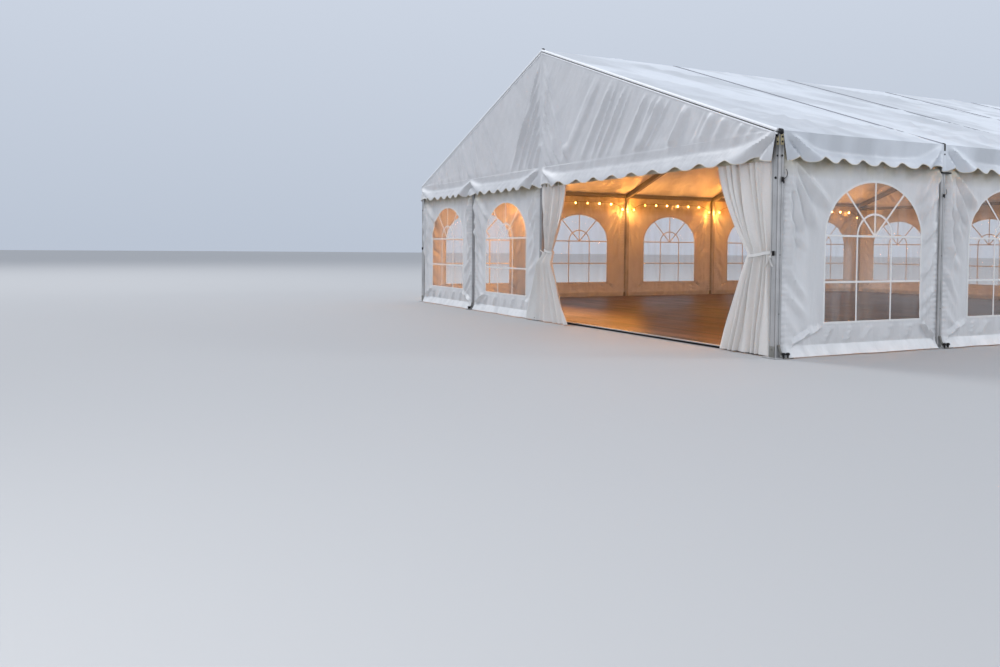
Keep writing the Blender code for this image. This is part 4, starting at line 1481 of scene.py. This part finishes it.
class MARQUEE_OT_corner_plates(bpy.types.Operator):
    """Passivated plates on the four corner legs between the valances, with their bolts"""

    bl_idname = "marquee.corner_plates"
    bl_label = "Corner Plates"

    def execute(self, context):
        plates, bolts = [], []
        foot = HEM + 0.19
        for side, end in [(side, end) for side in (-1, 1) for end in (-1, 1)]:
            x, y, front = side * HALF_WIDTH, end * (HALF_LENGTH - LEG_WIDTH / 2), end * HALF_LENGTH
            top = (x + side * 0.006, y + 0.022, EAVE_TOP - 0.03)
            plates.append(block((x, y - 0.028, foot), top, 0.002))
            top = (x - side * 0.008, front + end * 0.005, EAVE_TOP - 0.06)
            plates.append(block((x - side * 0.050, front, foot), top, 0.002))
            for z in (HEM + 0.06, HEM + 0.23, EAVE_TOP - 0.07):
                bolts.append(bolt(0.008, 0.012, (x + side * 0.005, y, z), (side, 0, 0)))
                bolts.append(bolt(0.007, 0.010, (x - side * 0.030, front + end * 0.004, z), (0, end, 0)))
        piece("corner_plates", joined(plates), "brass")
        piece("corner_bolts", joined(bolts), "black")
        return {"FINISHED"}


def hook_shell():
    """A wall tensioner seen from outside: a clamp block, a lever and an open wire hook, in a
    frame with X out of the leg, Y along the wall and Z up."""
    clamp = block((0, -0.016, -0.030), (0.022, 0.016, 0.030))
    lever = block((0.020, -0.009, -0.052), (0.032, 0.009, 0.012))
    turn = np.linspace(-0.45 * math.pi, 0.30 * math.pi, 12)
    path = table(0.018, 0.020 + 0.045 * np.cos(turn), 0.075 + 0.060 * np.sin(turn))
    path = np.vstack([[0.012, 0.012, -0.010], path])
    return joined([clamp, lever, sweep(circle(0.0042, 6), path, (1, 0, 0))])


class MARQUEE_OT_leg_fittings(bpy.types.Operator):
    """Tensioners, bolts, small brackets and cleats on the legs and the end posts"""

    bl_idname = "marquee.leg_fittings"
    bl_label = "Leg Fittings"

    def execute(self, context):
        hook = hook_shell()
        shells = []
        for number, y in enumerate(PORTALS):
            corner = number in (0, BAYS)
            size, fall = (1.0, 0.23) if corner else (0.7, 0.33)
            for side in (-1, 1):
                face = side * HALF_WIDTH
                fitted = hook.moved(turn=np.diag([side * size, size, size])).facing_out()
                shells.append(fitted.moved((face, y + 0.012, HEM - fall)))
                if not corner:
                    end = (face + side * 0.030, y + 0.13, HEM - 0.008)
                    shells.append(block((face, y - 0.07, HEM - 0.028), end))
                for z in (1.28, 0.55):
                    shells.append(bolt(0.006, 0.008, (face - side * 0.004, y, z), (side, 0, 0)))
        for end, side in [(end, side) for end in (-1, 1) for side in (-1, 1)]:
            x, front = side * (HALF_WIDTH - LEG_DEPTH / 2), end * HALF_LENGTH
            shells.append(bolt(0.010, 0.018, (x + side * 0.01, front, HEM - 0.21), (0, end, 0)))
            low = (x - 0.012, front - end * 0.004, 1.27)
            shells.append(block(low, (x + 0.012, front + end * 0.026, 1.33)))
        for side, posts in POSTS.items():
            for x, z in [(x, z) for x in posts for z in (2.30, 1.30, 0.5)]:
                place = on_side(side, x, HALF_LENGTH - 0.003, z)
                shells.append(bolt(0.007, 0.010, place, outward(side)))
        piece("leg_fittings", joined(shells), "black")
        return {"FINISHED"}


def shoe_shells():
    """A foot bracket with X out of the wall and Y along it: two cheeks beside the leg and a
    raking strut to a foot plate, and two stakes driven through it with their heads proud."""
    bracket = []
    for side in (-1, 1):
        y = side * (LEG_WIDTH / 2 + 0.005)
        bracket.append(block((-0.11, y - 0.004, PLATE_TOP), (-0.02, y + 0.004, 0.15), 0.002))
        bracket.append(bolt(0.009, 0.012, (-0.065, y + side * 0.004, 0.11), (0, side, 0)))
    path = [(0.014, -0.010, 0.17), (0.020, 0.012, 0.09), (0.030, 0.055, 0.030)]
    bracket.append(sweep(rounded(0.014, 0.010, 0.003, 2), path, (1, 0, 0)))
    bracket.append(block((-0.02, 0.030, 0.002), (0.080, 0.185, 0.014)))
    stake = lathe([
        (0.012, 0.0), (0.012, 0.045), (0.024, 0.047), (0.027, 0.060), (0.022, 0.071), (0.010, 0.076)
    ], 14)
    stakes = [stake.moved((x, y, 0.0)) for x, y in ((0.054, 0.038), (0.062, 0.100))]
    return joined(bracket), joined(stakes)


class MARQUEE_OT_shoes(bpy.types.Operator):
    """Foot brackets and stakes at every leg and end post"""

    bl_idname = "marquee.shoes"
    bl_label = "Foot Brackets"

    def execute(self, context):
        for shoe, name, look in zip(shoe_shells(), ("foot_brackets", "stakes"), ("zinc", "black")):
            shells = []
            for number, y in enumerate(PORTALS):
                way = -1.0 if number == BAYS else 1.0
                for side in (-1, 1):
                    fitted = shoe.moved(turn=np.diag([side, way, 1.0])).facing_out()
                    shells.append(fitted.moved((side * HALF_WIDTH, y, 0)))
            for side, posts in POSTS.items():
                nx, ny = SIDES[side]
                turn = np.array([(nx, ny, 0), (ny, -nx, 0), (0, 0, 1)]).T * [0.9, 0.7, 0.9]
                small = shoe.moved(turn=turn).facing_out()
                shells += [small.moved(on_side(side, x, HALF_LENGTH, 0.0)) for x in posts]
            piece(name, joined(shells), look)
        return {"FINISHED"}


class MARQUEE_OT_joint_plates(bpy.types.Operator):
    """Steel plates at the knees and the ridge, inside the tent"""

    bl_idname = "marquee.joint_plates"
    bl_label = "Joint Plates"

    def execute(self, context):
        shells = []
        strip = rounded(0.040, 0.004, 0.0015, 2)
        inner = LEG_DEPTH * 0.64
        rise = np.array([-math.cos(PITCH), math.sin(PITCH)])
        knee = np.array([HALF_WIDTH - inner, EAVE_TOP - 0.72 * inner])
        leg = knee - [0, 0.30]
        heads = (leg + [0, 0.05], leg + [0, 0.15], knee + rise * 0.15, knee + rise * 0.28)
        top = RIDGE_TOP - inner / math.cos(PITCH)
        for y, face in [(y, face) for y in PORTALS for face in (-1, 1)]:
            if abs(y + face * LEG_WIDTH) < HALF_LENGTH:
                plane = y + face * (LEG_WIDTH / 2 + 0.0035)
                proud = plane + face * 0.003
                for side in (-1, 1):
                    path = [(side * x, plane, z) for x, z in (leg, knee, knee + rise * 0.34)]
                    shells.append(sweep(strip, path, (0, 1, 0)))
                    for x, z in heads:
                        shells.append(bolt(0.009, 0.012, (side * x, proud, z), (0, face, 0)))
                path = [(x, plane, top - abs(x) * SLOPE) for x in (-0.36, 0.0, 0.36)]
                shells.append(sweep(strip, path, (0, 1, 0)))
                for x in (-0.28, -0.12, 0.12, 0.28):
                    place = (x, proud, top - abs(x) * SLOPE)
                    shells.append(bolt(0.009, 0.012, place, (0, face, 0)))
        piece("joint_plates", joined(shells), "zinc")
        return {"FINISHED"}


FLAP_HALF = 0.026


class MARQUEE_OT_seams(bpy.types.Operator):
    """Tracks and beads along the verges, the black tracks as painted shade of the recess under the bead,
    and the cords and flaps over the joints between covers
    """

    bl_idname = "marquee.seams"
    bl_label = "Verge Tracks and Seam Flaps"

    def execute(self, context):
        cloth = context.scene.marquee_cloth
        reach = HALF_WIDTH - 0.035
        tracks, beads, cords = [], [], []
        for end in (-1, 1):
            y = end * (HALF_LENGTH + 0.006)
            # Painted shade: the black track between the beads stands for the shade of the recess under the
            # upper bead.
            for down, outline, made in (
                (-0.002, circle(0.021, 12), beads), (0.025, rounded(0.007, 0.009, 0.001, 1), tracks),
                (0.042, rounded(0.010, 0.014, 0.005), beads),
            ):
                path = [(x, y, roof_line(x) - down) for x in (-reach, 0.0, reach)]
                made.append(sweep(outline, path, (0, 1, 0)))
        lift = (cloth.lift + 0.009) / math.cos(PITCH)
        for y in PORTALS[1:-1]:
            for edge in (y - FLAP_HALF - 0.001, y + FLAP_HALF + 0.001):
                path = [(x, edge, roof_line(x) + lift) for x in (-HALF_WIDTH, 0.0, HALF_WIDTH)]
                cords.append(sweep(circle(0.0045, 6), path, (0, 1, 0)))
        piece("seam_cords", joined(cords), "cord")
        piece("verge_tracks", joined(tracks), "black")
        piece("verge_beads", joined(beads), "bead")
        for number, y in enumerate(PORTALS[1:-1], 2):
            piece(f"seam_flap_{number}", flap_shell(y, cloth), "roof")
        return {"FINISHED"}


def flap_shell(y, cloth):
    """A flap from hem to hem over a joint: a crowned strip, 52 mm wide on the roof and growing
    to 86 mm at the hems."""
    lift = cloth.lift + 0.003
    fold_x, fold_z = HALF_WIDTH + lift, EAVE_TOP + lift
    top = RIDGE_TOP + lift / math.cos(PITCH)
    hem = HEM + 0.01
    fall, rise = np.linspace(1, 0, 6), np.linspace(0, 1, 14)[1:]
    x = np.concatenate([fold_x + 0 * fall, fold_x * (1 - rise)])
    z = np.concatenate([hem + (fold_z - hem) * (1 - fall), fold_z + (top - fold_z) * rise])
    wide = FLAP_HALF + 0.017 * np.concatenate([fall, 0 * rise])
    x = np.concatenate([-x, x[-2::-1]])
    z, wide = (np.concatenate([half, half[-2::-1]]) for half in (z, wide))
    across = np.linspace(-1, 1, 7)
    crown = 0.0025 * (1 - across**2)
    hangs = np.abs(x) > HALF_WIDTH
    turn = np.where(hangs, 1.0, math.sin(PITCH)) * np.sign(x)
    up = np.where(hangs, 0.0, math.cos(PITCH))
    points = table(
        x[:, None] + crown * turn[:, None], y + across * wide[:, None], z[:, None] + crown * up[:, None]
    )
    under = points[:, ::-1] - 0.002 * table(turn, 0.0, up)[:, None]
    return tube(np.concatenate([points, under], axis=1))


# Floor and lamps

def board_shell(low, high, ease=0.002):
    """A board: a rectangle carried up from its underside, drawn in along its top edges."""
    low, high = np.array(low), np.array(high)
    corners = np.array([(1, 1), (-1, 1), (-1, -1), (1, -1)]) / 2
    size, middle = (high - low)[:2], (high + low)[:2] / 2
    rings = []
    for inset, z in ((0, low[2]), (0, high[2] - ease), (ease, high[2])):
        rings.append(table(*(middle + corners * (size - 2 * inset)).T, z))
    return tube(np.array(rings))


class MARQUEE_OT_floor(bpy.types.Operator):
    """The boarded floor with its edge trim, and a black bed under the boards as painted shade of the gap
    below the trim
    """

    bl_idname = "marquee.floor"
    bl_label = "Floor"

    def execute(self, context):
        low, high = np.array(DECK[0]), np.array(DECK[1])
        rng = np.random.default_rng(5)
        trim, gap, board, depth = 0.04, 0.006, 0.145, 0.018
        count = round((high[1] - low[1] - 2 * trim) / board)
        edges = np.linspace(low[1] + trim, high[1] - trim, count + 1)
        shells, tones = [], []
        for y0, y1 in zip(edges, edges[1:]):
            joints = [low[0] + trim]
            while joints[-1] < high[0] - trim - 2.6:
                joints.append(joints[-1] + rng.uniform(1.6, 2.5))
            joints.append(high[0] - trim)
            for x0, x1 in zip(joints, joints[1:]):
                top = high[2] + rng.uniform(-0.0007, 0.0007)
                corner_low = (x0 + gap / 2, y0 + gap / 2, high[2] - depth)
                shells.append(board_shell(corner_low, (x1 - gap / 2, y1 - gap / 2, top)))
                tones.append(np.full(len(shells[-1].points), rng.random()))
        made = piece("floor_boards", joined(shells), "timber", ["floor_deck"])
        tone = made.data.attributes.new("board", "FLOAT", "POINT")
        tone.data.foreach_set("value", np.concatenate(tones).astype(np.float32))
        # Painted shade: the black bed stands for the shade in the gap under the trim.
        bed = block(low + [0.02, 0.03, 0], high - [0.02, 0.03, depth + 0.001])
        piece("floor_bed", bed, "black")
        (x0, y0), (x1, y1) = low[:2] + trim / 2, high[:2] - trim / 2
        corners = [(x, y, high[2] - 0.008) for x, y in ((x0, y0), (x1, y0), (x1, y1), (x0, y1))]
        ring = sweep(rounded(trim / 2, 0.008, 0.003, 2), corners, (0, 0, 1), closed=True)
        piece("floor_trim", ring, "aluminium")
        return {"FINISHED"}


LAMP_X = sum(corner.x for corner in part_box("light_string_right")) / 2
LAMPS_A_BAY = 8
CABLE_DROP, CABLE_DIP, DIP_REACH = 0.22, 0.20, 0.30


def cable_height(y):
    """Height of the lamp cable: level between the legs, less a bell curve of the distance to the
    nearest leg, because it dips at each one."""
    nearest = np.min([np.abs(y - portal) for portal in PORTALS], axis=0)
    return EAVE_TOP - CABLE_DROP - CABLE_DIP * np.exp(-((nearest / DIP_REACH) ** 2))


class MARQUEE_OT_lamp_strings(bpy.types.Operator):
    """The two strings of lamps along the eaves: cable, sockets, bulbs and clips"""

    bl_idname = "marquee.lamp_strings"
    bl_label = "Lamp Strings"

    def execute(self, context):
        end = HALF_LENGTH - LEG_WIDTH
        stations = np.linspace(-end, end, 240)
        bulbs = (np.arange(BAYS * LAMPS_A_BAY) + 0.5) * BAY_LENGTH / LAMPS_A_BAY - HALF_LENGTH
        globe = lathe([
            (0.006, -0.002), (0.009, -0.008), (0.015, -0.016), (0.0195, -0.028), (0.019, -0.038),
            (0.013, -0.047), (0.004, -0.051),
        ])
        socket = lathe([(0.006, 0.008), (0.0095, 0.004), (0.0095, -0.006), (0.007, -0.010)], 10)
        bend = [(0.0, 0.0, -0.006), (0.006, 0.0, 0.0), (0.0, 0.0, 0.010)]
        clip = sweep(rounded(0.004, 0.006, 0.001, 1), bend, (0, 1, 0))
        for name, side in (("left", -1), ("right", 1)):
            x = side * LAMP_X
            path = table(x, stations, cable_height(stations))
            dark, lit = [sweep(circle(0.004, 6), path, (1, 0, 0))], []
            for y in bulbs:
                place = (x, y, cable_height(y) - 0.004)
                dark.append(socket.moved(place))
                lit.append(globe.moved(place))
            bent = clip.moved(turn=np.diag([side, 1, 1])).facing_out()
            dark += [bent.moved((x, y, cable_height(y))) for y in PORTALS]
            piece(f"lamp_cable_{name}", joined(dark), "cable", [f"light_string_{name}"])
            piece(f"lamp_bulbs_{name}", joined(lit), "lamp")
        return {"FINISHED"}


# The stage

def add_light(name, kind, place, power, colour, size, aim=None):
    """A soft light that the camera doesn't see."""
    data = bpy.data.lights.new(name, kind)
    data.energy = power
    data.color = colour
    if kind == "AREA":
        data.shape = "RECTANGLE"
        data.size, data.size_y = size
    else:
        data.shadow_soft_size = size
    light = bpy.data.objects.new(name, data)
    bpy.context.scene.collection.objects.link(light)
    light.location = place
    if aim is not None:
        light.rotation_euler = (Vector(aim) - Vector(place)).to_track_quat("-Z", "Y").to_euler()
    light.visible_camera = False


def overcast(setting):
    """A soft grey studio sky, brighter overhead than at the horizon."""
    world = bpy.data.worlds.new("studio")
    world.use_nodes = True
    tree = world.node_tree
    place = tree.nodes.new("ShaderNodeTexCoord")
    height = tree.nodes.new("ShaderNodeSeparateXYZ")
    ramp = tree.nodes.new("ShaderNodeValToRGB")
    ramp.color_ramp.elements[0].color = (*setting.horizon, 1)
    ramp.color_ramp.elements[1].color = (*setting.zenith, 1)
    tree.links.new(place.outputs["Generated"], height.inputs[0])
    tree.links.new(height.outputs[2], ramp.inputs[0])
    tree.links.new(ramp.outputs[0], tree.nodes["Background"].inputs["Color"])
    tree.nodes["Background"].inputs["Strength"].default_value = setting.sky
    return world


def lamp_glare(scene, setting):
    """A mild bloom and a faint star round the lamps, worked out on the finished picture."""
    scene.use_nodes = True
    tree = scene.node_tree
    picture = tree.nodes["Render Layers"].outputs["Image"]
    for kind, strength in (("BLOOM", setting.bloom), ("STREAKS", setting.star)):
        glare = tree.nodes.new("CompositorNodeGlare")
        glare.glare_type = kind
        glare.inputs["Threshold"].default_value = 4.0
        glare.inputs["Strength"].default_value = strength
        tree.links.new(picture, glare.inputs["Image"])
        picture = glare.outputs["Image"]
    tree.links.new(picture, tree.nodes["Composite"].inputs["Image"])


def studio_disc():
    """The studio floor: rings of quads round one middle face, just under the ground."""
    angles = np.arange(72) * 2 * math.pi / 72
    rings = np.array([0.5, 5, 15, 30, 60, 110, 180])[:, None]
    points = table(rings * np.cos(angles), rings * np.sin(angles), -0.002)
    disc = grid(points, (0, 0, 1), wrap_columns=True)
    corners = np.concatenate([disc.corners, np.arange(72)])
    return Shell(disc.points, corners, np.append(disc.sizes, 72))


def lamp_glow(setting):
    """Warm light from the lamps: a wash on each wall, two lights behind the curtains, one over
    each string in each bay, and one at each dip of a string."""
    warm = (1.0, 0.38, 0.07)
    walls = (("left", 13.5, 0, 1), ("right", 13.5, 0, 1), ("rear", 10.5, 0, 7 / 9), ("front", 5, -3, 2))
    for side, span, middle, share in walls:
        wall = HALF_WIDTH if side in ("left", "right") else HALF_LENGTH
        place, aim = (tuple(on_side(side, middle, wall - back, 1.4)) for back in (2.6, 0.0))
        add_light(f"wash_{side}", "AREA", place, setting.wash * share, warm, (span, 1.4), aim)
    for name, x, z in (("left", 0.7, 1.8), ("right", 3.6, 1.3)):
        place = (x, -HALF_LENGTH + 0.9, z)
        add_light(f"curtain_{name}", "POINT", place, setting.warm * 1.2, warm, 0.5)
    for bay, start in enumerate(BAY_EDGES[:-1]):
        for side in (-1, 1):
            x, y = side * (HALF_WIDTH - 0.75), start + BAY_LENGTH / 2
            name = f"string_{bay}_{side}"
            add_light(name, "AREA", (x, y, HEM), setting.warm / 2, warm, (0.3, 2.6), (x, y, 9))
    for number, y in enumerate(PORTALS[1:-1]):
        for side in (-1, 1):
            place = (side * (LAMP_X - 0.14), y, EAVE_TOP - CABLE_DROP - CABLE_DIP)
            add_light(f"cluster_{number}_{side}", "POINT", place, setting.glow, warm, 0.03)


def add_camera(scene, setting):
    """The camera, from its place, its heading and tilt, and its turn about the line of sight."""
    data = bpy.data.cameras.new("camera")
    data.lens = setting.lens
    data.sensor_width = 36.0
    data.shift_y = setting.shift
    data.clip_end = 500
    camera = bpy.data.objects.new("camera", data)
    scene.collection.objects.link(camera)
    azimuth, pitch, roll = setting.camera_azimuth, setting.camera_pitch, setting.camera_roll
    ahead = Vector((
        -math.sin(azimuth) * math.cos(pitch), math.cos(azimuth) * math.cos(pitch), math.sin(pitch)
    ))
    level = Vector((math.cos(azimuth), math.sin(azimuth), 0))
    upright = level.cross(ahead)
    right = math.cos(roll) * level + math.sin(roll) * upright
    up = -math.sin(roll) * level + math.cos(roll) * upright
    turn = Matrix((right, up, -ahead)).transposed().to_4x4()
    camera.matrix_world = Matrix.Translation(Vector(setting.camera_place)) @ turn
    scene.camera = camera


class MARQUEE_OT_stage(bpy.types.Operator):
    """Pale floor, soft studio light, the glow of the lamps and the camera"""

    bl_idname = "marquee.stage"
    bl_label = "Stage"

    def execute(self, context):
        scene = context.scene
        setting = scene.marquee_light
        floor = placed("studio_floor", studio_disc(), "stage")
        scene.world = overcast(setting)
        cool = (0.97, 0.98, 1.0)
        add_light("key", "AREA", (-29, -20, 36), setting.key, cool, (14, 14), (3, -6, 3))
        add_light("fill", "AREA", (18, 16, 14), setting.fill, (0.95, 0.97, 1.0), (6, 6), (5, -3, 1))
        add_light("front", "AREA", (13, -18.5, 4), setting.front, cool, (4, 3), (4, -7.5, 2))
        lamp_glow(setting)
        add_camera(scene, setting)
        scene.view_settings.view_transform = "Standard"
        lamp_glare(scene, setting)
        return {"FINISHED"}


class MARQUEE_PT_panel(bpy.types.Panel):
    """The tent's pieces and sizes"""

    bl_label = "Marquee Tent"
    bl_idname = "MARQUEE_PT_panel"
    bl_space_type = "VIEW_3D"
    bl_region_type = "UI"
    bl_category = "Marquee"

    def draw(self, context):
        for operator in OPERATORS:
            self.layout.operator(operator.bl_idname)
        for name in GROUPS:
            group = getattr(context.scene, name)
            box = self.layout.box()
            for key in group.__annotations__:
                box.prop(group, key)


GROUPS = {
    "marquee_cloth": MarqueeCloth,
    "marquee_windows": MarqueeWindows,
    "marquee_curtains": MarqueeCurtains,
    "marquee_colours": MarqueeColours,
    "marquee_light": MarqueeLight,
}
OPERATORS = (
    MARQUEE_OT_portals, MARQUEE_OT_gable_posts, MARQUEE_OT_purlins, MARQUEE_OT_joint_plates,
    MARQUEE_OT_roof_covers, MARQUEE_OT_gable_covers, MARQUEE_OT_seams, MARQUEE_OT_walls,
    MARQUEE_OT_curtains, MARQUEE_OT_eave_caps, MARQUEE_OT_corner_plates, MARQUEE_OT_leg_fittings,
    MARQUEE_OT_shoes, MARQUEE_OT_floor, MARQUEE_OT_lamp_strings, MARQUEE_OT_stage,
)


def register():
    for group in (*GROUPS.values(), *OPERATORS, MARQUEE_PT_panel):
        bpy.utils.register_class(group)
    for name, group in GROUPS.items():
        setattr(bpy.types.Scene, name, PointerProperty(type=group))


def unregister():
    for name in GROUPS:
        delattr(bpy.types.Scene, name)
    for group in (MARQUEE_PT_panel, *reversed(OPERATORS), *reversed(GROUPS.values())):
        bpy.utils.unregister_class(group)


def main():
    register()
    bpy.ops.marquee.portals()
    bpy.ops.marquee.gable_posts()
    bpy.ops.marquee.purlins()
    bpy.ops.marquee.joint_plates()
    bpy.ops.marquee.roof_covers()
    bpy.ops.marquee.gable_covers()
    bpy.ops.marquee.seams()
    bpy.ops.marquee.walls()
    bpy.ops.marquee.curtains()
    bpy.ops.marquee.eave_caps()
    bpy.ops.marquee.corner_plates()
    bpy.ops.marquee.leg_fittings()
    bpy.ops.marquee.shoes()
    bpy.ops.marquee.floor()
    bpy.ops.marquee.lamp_strings()
    bpy.ops.marquee.stage()


if __name__ == "__main__":
    main()
